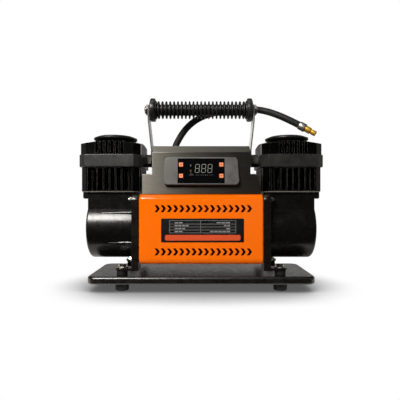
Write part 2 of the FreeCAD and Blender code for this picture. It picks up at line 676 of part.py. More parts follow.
def make_brushes():
    middle = "(commutator_start + commutator_end) / 2"
    brushes, sleeves, bores = [], [], []
    for i, side in enumerate((-1, 1)):
        near = "commutator_radius + running_gap"
        far = "%s + brush_length" % near
        y0, y1 = (near, far) if side > 0 else ("-(%s)" % far, "-(%s)" % near)
        s0, s1 = (near + " + 3", far + " + 4") if side > 0 else (
            "-(%s + 4)" % far, "-(%s + 3)" % near)
        brushes.append(box("Brush%d" % i, middle + " - brush_width / 2",
                           middle + " + brush_width / 2", y0, y1,
                           "motor_height - brush_thick / 2", "motor_height + brush_thick / 2"))
        sleeves.append(box("Sleeve%d" % i, middle + " - brush_width / 2 - holder_wall",
                           "holder_start + 1", s0, s1,
                           "motor_height - brush_thick / 2 - holder_wall",
                           "motor_height + brush_thick / 2 + holder_wall"))
        bores.append(box("SleeveBore%d" % i, middle + " - brush_width / 2",
                         middle + " + brush_width / 2", "(%s) - 1" % s0, "(%s) + 1" % s1,
                         "motor_height - brush_thick / 2", "motor_height + brush_thick / 2"))
    plate = ring("HolderPlate", "x", "case_inner", "commutator_radius + 3", "holder_start",
                 "holder_start + holder_thick", "0", "motor_height")
    node("carbon_brushes", group("CarbonBrushes", brushes))
    node("brush_holder", cut("BrushHolder", fuse("HolderSolid", [plate] + sleeves), bores))


def make_cooling_fan():
    count = int(size("fan_blades"))
    disc = cylinder("FanDisc", "x", "fan_radius", "fan_start", "fan_start + fan_wall", "0",
                    "motor_height")
    hub = cylinder("FanHub", "x", "fan_hub", "fan_start", "fan_start + fan_depth", "0",
                   "motor_height")
    blades = [turned_box("FanBlade%d" % i, count, i, "fan_start", "fan_start + fan_depth",
                         "fan_wall / 2", "fan_hub - 1", "fan_radius - 0.5") for i in range(count)]
    bore = cylinder("FanBore", "x", "shaft_radius", "fan_start - 1", "fan_start + fan_depth + 1",
                    "0", "motor_height")
    node("cooling_fan", cut("CoolingFan", fuse("FanSolid", [disc, hub] + blades), [bore]))


# ---- crankcases ----

def rounded_post(name, half_length, low, high):
    """A post of the neck's depth that stands under the cylinder."""
    body = new_body(name)
    plan = new_sketch(body, name + "Plan", "XY_Plane", low)
    rectangle(plan, "head_x - " + half_length, "head_x + " + half_length, "-neck_half_depth",
              "neck_half_depth")
    pad(body, plan, "(%s) - (%s)" % (high, low))
    round_edges(body, name + "Corners", lambda e: runs(e, Z), "neck_corner")
    return body


def drum_ribs():
    """Four ribs that stiffen the drum where it meets the end plate and fade out towards its end."""
    ribs = []
    for up, angle in ((-1, "lower_rib_angle"), (1, "upper_rib_angle")):
        turn = math.radians(size(angle))
        for side in (-1, 1):
            ribs.append(cone("DrumRib%d" % len(ribs), "x", "rib_radius", "rib_tip_radius",
                             "drum_start", "drum_start + rib_length",
                             "%d * (drum_radius - rib_sink) * %.9f" % (side, math.cos(turn)),
                             "motor_height + %d * (drum_radius - rib_sink) * %.9f"
                             % (up, math.sin(turn))))
    return ribs


def make_crankcases():
    shell = new_body("Drum")
    profile = new_sketch(shell, "DrumProfile", "XZ_Plane")
    outline(profile, [("drum_start", "0"), ("drum_end", "0"), ("drum_end", "drum_radius"),
                      ("drum_start", "drum_radius")])
    revolve(shell, profile)
    end = size("drum_end")
    round_edges(shell, "DrumRim", lambda e: abs(e.BoundBox.XMin - end) < 1e-4
                and e.BoundBox.ZLength > 50, "drum_round")
    place(shell, "0", "0", "motor_height")
    neck = rounded_post("Neck", "neck_half_length", "motor_height", "base_top")
    flange = rounded_post("BaseFlange", "base_half", "neck_top", "base_top")
    low = size("neck_top")
    round_edges(flange, "BaseFlangeRound", lambda e: all(abs(v.Z - low) < 1e-4 for v in e.Vertexes),
                "base_round")
    removed = [
        cylinder("DrumCavity", "x", "drum_inner_radius", "drum_start + drum_wall", "drum_end + 1",
                 "0", "motor_height"),
        cylinder("DrumShaftHole", "x", "bearing_lip_radius", "drum_start - 1",
                 "drum_start + drum_wall + 1", "0", "motor_height"),
        cylinder("LinerHole", "z", "liner_radius", "motor_height + 20", "base_top + 1", "head_x"),
        box("PlateRelief", "plate_inner - 5", "drum_start", "-drum_radius - 10",
            "drum_radius + 10", "motor_height - 1", "base_step"),
    ]
    right = cut("CrankcaseRight", fuse("CrankcaseSolid", [shell, neck, flange] + drum_ribs()), removed)
    node("crankcase_right", right)
    node("crankcase_left", mirrored("CrankcaseLeft", right))


def make_crankcase_covers():
    body = new_body("CaseCover")
    profile = new_sketch(body, "CaseCoverProfile", "XZ_Plane")
    outline(profile, [
        ("case_cover_start", "0"), ("case_cover_start + case_cover_thick", "0"),
        ("case_cover_start + case_cover_thick", "drum_inner_radius"),
        ("case_cover_start", "drum_inner_radius")])
    revolve(body, profile)
    outer = size("case_cover_start") + size("case_cover_thick")
    round_edges(body, "CaseCoverRim", lambda e: abs(e.BoundBox.XMin - outer) < 1e-4
                and e.BoundBox.ZLength > 50, "1.2")
    place(body, "0", "0", "motor_height")
    node("crankcase_covers", group("CrankcaseCovers", [body, mirrored("CaseCoverLeft", body)]))


def make_cover_screws():
    pieces = []
    seat = "case_cover_start + case_cover_thick"
    for i in range(5):
        turn = math.tau * i / 5
        y = "cover_screws_ring * %.9f" % math.sin(turn)
        z = "motor_height + cover_screws_ring * %.9f" % math.cos(turn)
        pieces.append(cylinder("CaseScrewRight%d" % i, "x", "screw_radius", seat,
                               seat + " + screw_height - 0.6", y, z))
        pieces.append(cylinder("CaseScrewLeft%d" % i, "x", "screw_radius",
                               "-case_cover_start - case_cover_thick - screw_height + 0.6",
                               "-case_cover_start - case_cover_thick", y, z))
    for i, (x, y) in enumerate(((sx, sy) for sx in ("-", "") for sy in ("-", ""))):
        pieces.append(cylinder("ShoulderScrew%d" % i, "z", "screw_radius", "shoulder_top",
                               "shoulder_top + screw_height", x + "shoulder_screw_x",
                               y + "shoulder_screw_y"))
    node("cover_screws", group("CoverScrews", pieces))


# ---- cylinders and heads ----

def octagon_block(name, half, face, low, high):
    """A square block with cut corners, centred on its own vertical axis."""
    body = new_body(name)
    plan = new_sketch(body, name + "Plan", "XY_Plane", low)
    a, b = "(%s)" % half, "(%s)" % face
    outline(plan, [("-" + a, "-" + b), ("-" + b, "-" + a), (b, "-" + a), (a, "-" + b),
                   (a, b), (b, a), ("-" + b, a), ("-" + a, b)])
    pad(body, plan, "(%s) - (%s)" % (high, low))
    return body


def make_cylinder_liners():
    right = ring("LinerRight", "z", "liner_radius", "bore_radius", "liner_bottom", "barrel_top",
                 "head_x")
    node("cylinder_liners", group("CylinderLiners", [right, mirrored("LinerLeft", right)]))


def make_base_gaskets():
    plate = octagon_block("GasketPlate", "barrel_half - 0.8", "face_half", "base_top", "gasket_top")
    place(plate, "head_x")
    tabs = box("GasketTabs", "head_x - barrel_half + 5", "head_x + gasket_tab",
               "-gasket_tab_width / 2", "gasket_tab_width / 2", "base_top", "gasket_top")
    hole = cylinder("GasketHole", "z", "liner_radius", "base_top - 1", "gasket_top + 1", "head_x")
    right = cut("GasketRight", fuse("GasketSolid", [plate, tabs]), [hole])
    node("base_gaskets", group("BaseGaskets", [right, mirrored("GasketLeft", right)]))


def make_barrels():
    low, high = "gasket_top", "barrel_top"
    whole = octagon_block("BarrelBlock", "barrel_half", "face_half", low, high)
    place(whole, "head_x")
    inside = [
        cylinder("BarrelCore", "z", "barrel_core", low, high, "head_x"),
        box("BarrelFoot", "head_x - band_half", "head_x + band_half", "-band_half", "band_half",
            low, low + " + flange_thick"),
        box("BarrelTop", "head_x - band_half", "head_x + band_half", "-band_half", "band_half",
            high + " - flange_thick", high),
    ]
    for number in range(-2, 3):
        place_x = "head_x + %d * fin_pitch" % number
        place_y = "%d * fin_pitch" % number
        inside.append(box("BarrelFinA%d" % (number + 2), place_x + " - fin_thick / 2",
                          place_x + " + fin_thick / 2", "-band_half", "band_half", low, high))
        inside.append(box("BarrelFinB%d" % (number + 2), "head_x - band_half",
                          "head_x + band_half", place_y + " - fin_thick / 2",
                          place_y + " + fin_thick / 2", low, high))
    for number in (-3, 3):
        place_x = "head_x + %d * fin_pitch" % number
        place_y = "%d * fin_pitch" % number
        inside.append(box("BarrelShortA%d" % (number + 3), place_x + " - fin_thick / 2",
                          place_x + " + fin_thick / 2", "-short_fin_reach", "short_fin_reach",
                          low, high))
        inside.append(box("BarrelShortB%d" % (number + 3), "head_x - short_fin_reach",
                          "head_x + short_fin_reach", place_y + " - fin_thick / 2",
                          place_y + " + fin_thick / 2", low, high))
    for i, (sx, sy) in enumerate(((a, b) for a in (-1, 1) for b in (-1, 1))):
        x0, x1 = ("post_start", "band_half") if sx > 0 else ("-band_half", "-post_start")
        y0, y1 = ("post_start", "band_half") if sy > 0 else ("-band_half", "-post_start")
        inside.append(box("BarrelPost%d" % i, "head_x + " + x0, "head_x + " + x1, y0, y1, low, high))
    finned = common("BarrelFinned", whole, fuse("BarrelInside", inside))
    bore = cylinder("BarrelBore", "z", "liner_radius", low + " - 1", high + " + 1", "head_x")
    right = cut("BarrelRight", finned, [bore])
    node("cylinder_barrel_right", right)
    node("cylinder_barrel_left", mirrored("BarrelLeft", right))


def make_head_blocks():
    block = octagon_block("BandBlock", "band_half", "band_face_half", "barrel_top", "band_top")
    round_edges(block, "BandEdges", lambda e: True, "band_round")
    place(block, "head_x")
    removed = [
        cylinder("ValveSeat", "z", "valve_radius", "barrel_top - 1", "barrel_top + valve_thick",
                 "head_x"),
        cylinder("HeadChamber", "z", "chamber_radius", "barrel_top", "chamber_top", "head_x"),
        cylinder("PipeSocket", "x", "pipe_radius", "head_x - band_half - 1", "pipe_outer_end", "0",
                 "pipe_height"),
        cylinder("OutletPort", "x", "pipe_bore", "pipe_outer_end - 1", "head_x", "0",
                 "pipe_height - 1"),
    ]
    right = cut("HeadBlockRight", block, removed)
    node("head_block_right", right)
    node("head_block_left", mirrored("HeadBlockLeft", right))


def make_valve_plates():
    disc = cylinder("ValveDisc", "z", "valve_radius", "barrel_top", "barrel_top + valve_thick",
                    "head_x")
    ports = [cylinder("ValvePort%d" % i, "z", "2.2", "barrel_top - 1", "barrel_top + 3",
                      "head_x + %d * 9" % side, "0") for i, side in enumerate((-1, 1))]
    right = cut("ValvePlateRight", disc, ports)
    node("valve_plates", group("ValvePlates", [right, mirrored("ValvePlateLeft", right)]))


def make_head_crowns():
    block = octagon_block("CrownBlock", "crown_half", "face_half", "band_top", "crown_top")
    place(block, "head_x")
    skirt = cylinder("CrownSkirt", "z", "crown_cone_low", "band_top", "crown_shoulder", "head_x")
    slope = cone("CrownSlope", "z", "crown_cone_low", "crown_cone_high", "crown_shoulder",
                 "crown_top", "head_x")
    shaped = common("CrownShaped", block, fuse("CrownLimit", [skirt, slope]))
    removed = [cylinder("FilterWell", "z", "filter_radius", "filter_floor", "crown_top + 1",
                        "head_x")]
    for number in range(6):
        middle = "(%d - 2.5) * crown_pitch" % number
        for face, (x0, x1, y0, y1) in enumerate((
                ("head_x + %s - crown_slot / 2" % middle, "head_x + %s + crown_slot / 2" % middle,
                 "-band_half", "-slot_depth_y"),
                ("head_x + %s - crown_slot / 2" % middle, "head_x + %s + crown_slot / 2" % middle,
                 "slot_depth_y", "band_half"),
                ("head_x - band_half", "head_x - slot_depth_y", "%s - crown_slot / 2" % middle,
                 "%s + crown_slot / 2" % middle),
                ("head_x + slot_depth_y", "head_x + band_half", "%s - crown_slot / 2" % middle,
                 "%s + crown_slot / 2" % middle))):
            removed.append(box("CrownSlot%d_%d" % (face, number), x0, x1, y0, y1,
                               "band_top + 1", "crown_top + 1"))
    right = cut("CrownRight", shaped, removed)
    node("head_crown_right", right)
    node("head_crown_left", mirrored("CrownLeft", right))


def make_intake_caps():
    body = new_body("IntakeCap")
    profile = new_sketch(body, "IntakeCapProfile", "XZ_Plane")
    outline(profile, [
        ("0", "filter_floor + 4"), ("filter_radius - 3", "filter_floor + 4"),
        ("filter_radius - 3", "crown_top - 3"), ("filter_radius", "crown_top - 3"),
        ("filter_radius", "crown_top + 1"), ("cap_radius - 2", "cap_bottom"),
        ("cap_radius", "cap_bottom + 1"), ("cap_radius", "cap_rim"),
        ("cap_radius - 6", "cap_top - 0.6"), ("0", "cap_top")])
    revolve(body, profile, "V_Axis")
    place(body, "head_x")
    node("intake_cap_right", body)
    node("intake_cap_left", mirrored("IntakeCapLeft", body))


# ---- cranks, rods and pistons: the left side starts at the top of its stroke ----

def make_cranks():
    for side, up in (("right", -1), ("left", 1)):
        start, end = "crank_start", "crank_start + crank_thick"
        pin_end = end + " + crank_pin_length"
        throw = "motor_height + %d * crank_throw" % up
        hub = cylinder("CrankHub_" + side, "x", "crank_hub", start, end, "0", "motor_height")
        cheek = cylinder("CrankCheek_" + side, "x", "crank_pin_radius + 3", start, end, "0", throw)
        pin = cylinder("CrankPin_" + side, "x", "crank_pin_radius", start, pin_end, "0", throw)
        weight = cylinder("CrankWeight_" + side, "x", "counterweight_radius", start, end, "0",
                          "motor_height")
        weight.setExpression("Angle", bound("counterweight_angle"))
        turn = (0 if up > 0 else 180) - size("counterweight_angle") / 2
        weight.Placement.Rotation = FreeCAD.Rotation(X, turn).multiply(TURNS["x"])
        place(weight, start, "0", "motor_height")
        bore = cylinder("CrankBore_" + side, "x", "shaft_end_radius", start + " - 1",
                        "shaft_length / 2", "0", "motor_height")
        crank = cut("Crank_" + side, fuse("CrankSolid_" + side, [hub, cheek, pin, weight]), [bore])
        if side == "left":
            crank = mirrored("CrankMirror_left", crank)
        node("crank_" + side, crank)


def make_pistons():
    for side, pin in (("right", "motor_height - crank_throw"),
                      ("left", "motor_height + crank_throw")):
        crown = "%s + rod_rise" % pin
        x0 = "crank_start + crank_thick + crank_pin_length + rod_gap"
        x1 = x0 + " + rod_width"
        big_end = cylinder("BigEnd_" + side, "x", "big_end_radius", x0, x1, "0", pin)
        shank = box("RodShank_" + side, "head_x - rod_thick / 2", "head_x + rod_thick / 2",
                    "-rod_depth / 2", "rod_depth / 2", pin + " + big_end_bore + 2",
                    crown + " - clamp_thick - cup_thick - 1")
        head = cylinder("PistonHead_" + side, "z", "piston_radius",
                        crown + " - clamp_thick - cup_thick - piston_thick",
                        crown + " - clamp_thick - cup_thick", "head_x")
        clamp = cylinder("Clamp_" + side, "z", "clamp_radius", crown + " - clamp_thick", crown,
                         "head_x")
        stud = cylinder("ClampStud_" + side, "z", "4", crown + " - clamp_thick - cup_thick - 1",
                        crown, "head_x")
        bore = cylinder("BigEndBore_" + side, "x", "big_end_bore", x0 + " - 1", x1 + " + 1", "0", pin)
        rod = cut("Rod_" + side, fuse("RodSolid_" + side, [big_end, shank, head, clamp, stud]), [bore])
        disc = cylinder("CupDisc_" + side, "z", "bore_radius - running_gap",
                        crown + " - clamp_thick - cup_thick", crown + " - clamp_thick", "head_x")
        lip = ring("CupLip_" + side, "z", "bore_radius - running_gap", "bore_radius - 1.5",
                   crown + " - clamp_thick - 0.5", crown + " - 0.2", "head_x")
        hole = cylinder("CupHole_" + side, "z", "4", crown + " - 5", crown + " + 1", "head_x")
        cup = cut("Cup_" + side, fuse("CupSolid_" + side, [disc, lip]), [hole])
        if side == "left":
            rod, cup = mirrored("RodMirror_left", rod), mirrored("CupMirror_left", cup)
        node("piston_rod_" + side, rod)
        node("cup_seal_" + side, cup)


# ---- control housing, display and buttons ----

def housing_block(name, inset):
    """The stepped housing as a solid, shrunk on every side but the open bottom."""
    body = new_body(name)
    face = new_sketch(body, name + "Face", "XZ_Plane")
    wide, narrow = "shoulder_half - (%s)" % inset, "tower_half - (%s)" % inset
    step, top = "shoulder_top - (%s)" % inset, "tower_top - (%s)" % inset
    bottom = "cover_top" if inset == "0" else "cover_top - 1"
    outline(face, [("-(%s)" % wide, bottom), (wide, bottom), (wide, step), (narrow, step),
                   (narrow, top), ("-(%s)" % narrow, top), ("-(%s)" % narrow, step),
                   ("-(%s)" % wide, step)])
    pad(body, face, "2 * (housing_half_depth - (%s))" % inset, midplane=True)
    slope = new_sketch(body, name + "Slope", "YZ_Plane")
    over = "2"
    ratio = "tower_slope_down / tower_slope_back"
    front = "-housing_half_depth + (%s)" % inset
    outline(slope, [
        ("%s - %s" % (front, over), "%s - tower_slope_down - %s * %s" % (top, over, ratio)),
        ("%s + tower_slope_back + %s" % (front, over), "%s + %s * %s" % (top, over, ratio)),
        ("%s - %s" % (front, over), "%s + %s * %s" % (top, over, ratio))])
    pocket(body, slope, "3 * tower_half", midplane=True)
    return body


def make_control_housing():
    outer = housing_block("HousingOuter", "0")
    bottom = size("cover_top")
    round_edges(outer, "HousingEdges", lambda e: e.BoundBox.ZMin > bottom + 1
                or e.BoundBox.ZLength > 10, "housing_round")
    inner = housing_block("HousingInner", "housing_wall")
    removed = [
        inner,
        box("HousingWindow", "-window_half", "window_half", "-housing_half_depth - 1",
            "-housing_half_depth + housing_wall + 1", "window_low", "window_high"),
        cylinder("HousingPipes", "x", "pipe_radius", "-tower_half - 1", "tower_half + 1", "0",
                 "pipe_height"),
        cylinder("HousingOutlet", "z", "outlet_stem", "tower_top - housing_wall - 1",
                 "tower_top + 1", "outlet_x", "outlet_y"),
    ]
    node("control_housing", cut("ControlHousing", outer, removed))


def on_panel(thing):
    """Lean a piece with the display panel, about the panel's middle."""
    thing.Placement.Rotation = FreeCAD.Rotation(X, size("panel_tilt"))
    return place(thing, "0", "panel_y", "panel_z")


def make_display_bezel():
    body = new_body("Bezel")
    face = new_sketch(body, "BezelFace", "XZ_Plane", "bezel_proud")
    up = "bezel_half_height"
    outline(face, [("-bezel_bottom_half", "-" + up), ("bezel_bottom_half", "-" + up),
                   ("bezel_top_half", up), ("-bezel_top_half", up)])
    frame = pad(body, face, "bezel_proud + 9")
    frame.Reversed = True
    round_edges(body, "BezelCorners", lambda e: runs(e, Y), "bezel_corner")
    proud = -size("bezel_proud")
    round_edges(body, "BezelRim", lambda e: abs(e.BoundBox.YMax - proud) < 1e-4, "bezel_round")
    hole = new_sketch(body, "BezelHole", "XZ_Plane", "bezel_proud + 1")
    rectangle(hole, "-glass_half", "glass_half", "-glass_half_height", "glass_half_height")
    pocket(body, hole, "bezel_proud + 15")
    on_panel(body)
    wall = box("BezelWall", "-shoulder_half", "shoulder_half", "-housing_half_depth", "0",
               "cover_top", "tower_top")
    node("display_bezel", cut("DisplayBezel", body, [wall]))


BUTTONS = [
    ("button_upper_left", "-button_x", "button_upper"),
    ("button_lower_left", "-button_x", "button_lower"),
    ("button_upper_right", "button_x", "button_upper"),
    ("button_lower_right", "button_x", "button_lower"),
]


def make_display_glass():
    body = new_body("Glass")
    face = new_sketch(body, "GlassFace", "XZ_Plane")
    rectangle(face, "-glass_half", "glass_half", "-glass_half_height", "glass_half_height")
    half = "button_size / 2 + button_gap"
    for name, x, z in BUTTONS:
        rectangle(face, "%s - %s" % (x, half.replace("+", "-")), "%s + %s" % (x, half),
                  "%s - %s" % (z, half.replace("+", "-")), "%s + %s" % (z, half))
    slab = pad(body, face, "glass_thick")
    slab.Reversed = True
    node("display_glass", on_panel(body))


def make_buttons():
    for name, x, z in BUTTONS:
        body = new_body("B_" + name)
        face = new_sketch(body, "Face_" + name, "XZ_Plane", "button_proud")
        rectangle(face, x + " - button_size / 2", x + " + button_size / 2",
                  z + " - button_size / 2", z + " + button_size / 2")
        block = pad(body, face, "button_proud + button_back")
        block.Reversed = True
        proud = -size("button_proud")
        round_edges(body, "Round_" + name, lambda e: abs(e.BoundBox.YMax - proud) < 1e-4,
                    "button_round")
        node(name, on_panel(body))


def make_control_board():
    body = new_body("Board")
    face = new_sketch(body, "BoardFace", "XZ_Plane", "-board_front")
    rectangle(face, "-board_half", "board_half", "-board_half_height", "board_half_height")
    board = pad(body, face, "board_thick")
    board.Reversed = True
    module = new_sketch(body, "ModuleFace", "XZ_Plane", "-glass_thick - 0.2")
    rectangle(module, "module_left", "module_right", "module_low", "module_high")
    raised = pad(body, module, "board_front - glass_thick - 0.2 + 0.4")
    raised.Reversed = True
    node("control_board", on_panel(body))


# ---- air path ----

def make_outlet_pipes():
    right = ring("PipeRight", "x", "pipe_radius", "pipe_bore", "pipe_inner_end", "pipe_outer_end",
                 "0", "pipe_height")
    nut = hexagon("PipeNutHex", "x", "pipe_nut_hex", "pipe_nut_start", "pipe_nut_end", "0",
                  "pipe_height")
    collar = cylinder("PipeCollar", "x", "pipe_nut_hex - 1.2", "pipe_nut_end - 1.4",
                      "pipe_nut_end", "0", "pipe_height")
    hole = cylinder("PipeNutHole", "x", "pipe_radius", "pipe_nut_start - 1", "pipe_nut_end + 1",
                    "0", "pipe_height")
    nut_right = cut("PipeNutRight", fuse("PipeNutSolid", [nut, collar]), [hole])
    node("outlet_pipes", group("OutletPipes", [right, mirrored("PipeLeft", right), nut_right,
                                               mirrored("PipeNutLeft", nut_right)]))
    flange = cylinder("BushFlange", "x", "bush_flange_radius", "tower_half",
                      "tower_half + bush_flange", "0", "pipe_height")
    sleeve = cylinder("BushSleeve", "x", "bush_radius", "tower_half", "pipe_nut_start", "0",
                      "pipe_height")
    bore = cylinder("BushBore", "x", "pipe_radius", "tower_half - 1", "pipe_nut_start + 1", "0",
                    "pipe_height")
    bush = cut("BushRight", fuse("BushSolid", [flange, sleeve]), [bore])
    node("pivot_bushes", group("PivotBushes", [bush, mirrored("BushLeft", bush)]))


def make_manifold_block():
    body = new_body("Manifold")
    plan = new_sketch(body, "ManifoldPlan", "XY_Plane", "block_bottom")
    rectangle(plan, "block_left", "block_right", "block_front", "block_back")
    pad(body, plan, "block_top - block_bottom")
    round_edges(body, "ManifoldCorners", lambda e: runs(e, Z), "block_round")
    removed = [
        cylinder("ManifoldPipeRight", "x", "pipe_radius", "pipe_inner_end", "block_right + 1", "0",
                 "pipe_height"),
        cylinder("ManifoldPipeLeft", "x", "pipe_radius", "block_left - 1", "-pipe_inner_end", "0",
                 "pipe_height"),
        cylinder("ManifoldGallery", "x", "pipe_bore", "-pipe_inner_end - 1", "pipe_inner_end + 1",
                 "0", "pipe_height"),
        cylinder("ManifoldOutlet", "z", "outlet_stem", "outlet_start", "block_top + 1", "outlet_x",
                 "outlet_y"),
    ]
    node("manifold_block", cut("ManifoldBlock", body, removed))


def outlet_fitting():
    """The threaded fitting that carries the hose out of the housing's roof."""
    stem = cylinder("FittingStem", "z", "outlet_stem", "outlet_start", "outlet_top", "outlet_x",
                    "outlet_y")
    body = hexagon("FittingHex", "z", "outlet_hex", "tower_top", "tower_top + outlet_hex_height",
                   "outlet_x", "outlet_y")
    bore = cylinder("FittingBore", "z", "2", "outlet_start - 1", "outlet_top + 1", "outlet_x",
                    "outlet_y")
    return cut("HoseFitting", fuse("FittingSolid", [stem, body]), [bore])


def hose_end_turn():
    """The hose's far end points right, turned to the front and dropped."""
    across = FreeCAD.Rotation(Z, -size("hose_end_turn"))
    return across.multiply(FreeCAD.Rotation(Y, size("hose_end_drop")))


def make_air_hose():
    """A bent hose: a round section carried along a smooth line through its high points."""
    start = V(size("outlet_x"), size("outlet_y"), size("outlet_top"))
    rise = start + V(0, 0, size("base_ferrule"))
    end = V(size("hose_end_x"), size("hose_end_y"), size("hose_end_z"))
    points = [rise, start + V(10.8, 0, 22), start + V(20.4, 0, 35.2), start + V(40, 0, 50.5),
              start + V(82, 0, 60.5), end + V(-58, 28, 30.1), end + V(-33, 12, 19.6), end]
    curve = Part.BSplineCurve()
    curve.interpolate(points, InitialTangent=Z, FinalTangent=hose_end_turn().multVec(X))
    spine = Part.Wire([Part.LineSegment(start, rise).toShape(), curve.toShape()])
    outer = Part.Wire([Part.Circle(start, Z, size("hose_radius")).toShape()])
    inner = Part.Wire([Part.Circle(start, Z, size("hose_bore")).toShape()])
    solid = spine.makePipeShell([outer], True, False)
    hollow = spine.makePipeShell([inner], True, False)
    hose = doc.addObject("Part::Feature", "AirHose")
    hose.Shape = solid.cut(hollow)
    node("air_hose", hose)


def turned_on_hose_end(name, sketch_points, start):
    """A turned piece on the hose's end line, from a distance past the hose's end."""
    body = new_body(name)
    profile = new_sketch(body, name + "Profile", "XZ_Plane")
    outline(profile, sketch_points)
    revolve(body, profile)
    turn = hose_end_turn()
    direction = turn.multVec(X)
    body.Placement.Rotation = turn
    return place(body, "hose_end_x + %.9f * (%s)" % (direction.x, start),
                 "hose_end_y + %.9f * (%s)" % (direction.y, start),
                 "hose_end_z + %.9f * (%s)" % (direction.z, start))


def make_hose_ends():
    tip = turned_on_hose_end("TipFerrule", [
        ("0", "0"), ("ferrule_length - 4", "0"), ("ferrule_length - 4", "plug_radius - 1"),
        ("ferrule_length - 4", "ferrule_radius"), ("0.8", "ferrule_radius"),
        ("0", "ferrule_radius - 0.8")], "0")
    base_body = new_body("BaseFerrule")
    profile = new_sketch(base_body, "BaseFerruleProfile", "XZ_Plane")
    outline(profile, [
        ("hose_radius", "outlet_top"), ("ferrule_radius", "outlet_top"),
        ("ferrule_radius", "outlet_top + base_ferrule - 1"),
        ("hose_radius + 0.4", "outlet_top + base_ferrule"),
        ("hose_radius", "outlet_top + base_ferrule - 0.4")])
    revolve(base_body, profile, "V_Axis")
    place(base_body, "outlet_x", "outlet_y")
    node("hose_fittings", group("HoseFittings", [outlet_fitting(), base_body, tip]))
    nose = "plug_length - plug_nose"
    plug = turned_on_hose_end("QuickPlug", [
        ("0", "0"), ("plug_length", "0"), ("plug_length", "plug_nose_radius - plug_chamfer"),
        ("plug_length - plug_chamfer", "plug_nose_radius"), (nose, "plug_nose_radius"),
        (nose, "plug_groove_radius"), (nose + " - plug_groove", "plug_groove_radius"),
        (nose + " - plug_groove", "plug_radius"), ("0", "plug_radius")], "ferrule_length - 4")
    node("quick_plug", plug)


# ---- folding handle ----

def make_handle_grip():
    body = new_body("Grip")
    core = new_sketch(body, "GripCore", "XZ_Plane")
    half = "grip_half"
    inner = "handle_rod_radius"
    flange, collar = "grip_half - grip_flange", "grip_half - grip_flange - grip_collar"
    outline(core, [
        ("-" + half, inner), (half, inner), (half, "grip_flange_radius - 1"),
        (flange + " + 2", "grip_flange_radius"), (flange, "grip_flange_radius - 1"),
        (flange, "grip_collar_radius"), (collar, "grip_collar_radius - 1.5"), (collar, "grip_core"),
        ("-(%s)" % collar, "grip_core"), ("-(%s)" % collar, "grip_collar_radius - 1.5"),
        ("-(%s)" % flange, "grip_collar_radius"), ("-(%s)" % flange, "grip_flange_radius - 1"),
        ("-(%s) - 2" % flange, "grip_flange_radius"), ("-" + half, "grip_flange_radius - 1")])
    revolve(body, core)
    rib = new_sketch(body, "GripRing", "XZ_Plane")
    count = int(size("grip_rings"))
    middle = "-grip_ring_pitch * %g" % ((count - 1) / 2)
    wide, tip = "grip_ring_width / 2", "grip_ring_width / 4"
    outline(rib, [
        ("%s - %s" % (middle, wide), "grip_core - 1"), ("%s + %s" % (middle, wide), "grip_core - 1"),
        ("%s + %s" % (middle, wide), "grip_ring_radius - 1"),
        ("%s + %s" % (middle, tip), "grip_ring_radius"),
        ("%s - %s" % (middle, tip), "grip_ring_radius"),
        ("%s - %s" % (middle, wide), "grip_ring_radius - 1")])
    feature = revolve(body, rib)
    repeat(body, feature, rib, "H_Axis", "grip_ring_pitch", count)
    node("handle_grip", place(body, "0", "0", "grip_height"))


def make_handle_rod():
    """The rod through the grip and the domed nut on each of its ends."""
    rod = cylinder("HandleRod", "x", "handle_rod_radius", "-handle_rod_half", "handle_rod_half",
                   "0", "grip_height")
    start = "arm_high_x + arm_sheet"
    body = new_body("CapNut")
    profile = new_sketch(body, "CapNutProfile", "XZ_Plane")
    outline(profile, [
        (start, "handle_rod_radius"), (start, "cap_nut_hex"),
        (start + " + cap_nut_length", "cap_nut_hex"),
        (start + " + cap_nut_length + 1.4", "cap_nut_hex - 1.4"),
        (start + " + cap_nut_dome - 0.8", "cap_nut_hex - 4"),
        (start + " + cap_nut_dome", "0"), ("handle_rod_half", "0"),
        ("handle_rod_half", "handle_rod_radius")])
    revolve(body, profile)
    place(body, "0", "0", "grip_height")
    node("handle_rod", group("HandleRodGroup", [rod, body, mirrored("CapNutLeft", body)]))


def make_handle_arms():
    body = new_body("Arm")
    edge = new_sketch(body, "ArmEdge", "XZ_Plane")
    low, high, sheet_thick = "arm_low_x", "arm_high_x", "arm_sheet"
    outline(edge, [
        (low, "arm_bottom"), ("%s + %s" % (low, sheet_thick), "arm_bottom"),
        ("%s + %s" % (low, sheet_thick), "arm_low_bend"),
        ("%s + %s" % (high, sheet_thick), "arm_high_bend"),
        ("%s + %s" % (high, sheet_thick), "arm_top"), (high, "arm_top"),
        (high, "arm_high_bend"), (low, "arm_low_bend")])
    pad(body, edge, "arm_width", midplane=True)
    round_edges(body, "ArmEnds", lambda e: runs(e, X), "arm_round")
    holes = [
        cylinder("ArmPivotHole", "x", "bush_radius + running_gap", "tower_half", "pipe_nut_end", "0",
                 "pipe_height"),
        cylinder("ArmRodHole", "x", "handle_rod_radius", "arm_low_x", "handle_rod_half + 9", "0",
                 "grip_height"),
    ]
    right = cut("ArmRight", body, holes)
    node("handle_arm_right", right)
    node("handle_arm_left", mirrored("ArmLeft", right))


make_base_tray()
make_feet()
make_isolators()
make_mount_bolts()
make_end_plates()
make_tie_rods()
make_front_cover()
make_rear_cover()
make_rating_plate()
make_power_socket()
make_motor_case()
make_field_magnets()
make_bearings()
make_motor_shaft()
make_armature()
make_commutator()
make_brushes()
make_cooling_fan()
make_crankcases()
make_crankcase_covers()
make_cover_screws()
make_cylinder_liners()
make_base_gaskets()
make_barrels()
make_head_blocks()
make_valve_plates()
make_head_crowns()
make_intake_caps()
make_cranks()
make_pistons()
make_control_housing()
make_display_bezel()
make_display_glass()
make_buttons()
make_control_board()
make_outlet_pipes()
make_manifold_block()
make_air_hose()
make_hose_ends()
make_handle_grip()
make_handle_rod()
make_handle_arms()
doc.recompute()

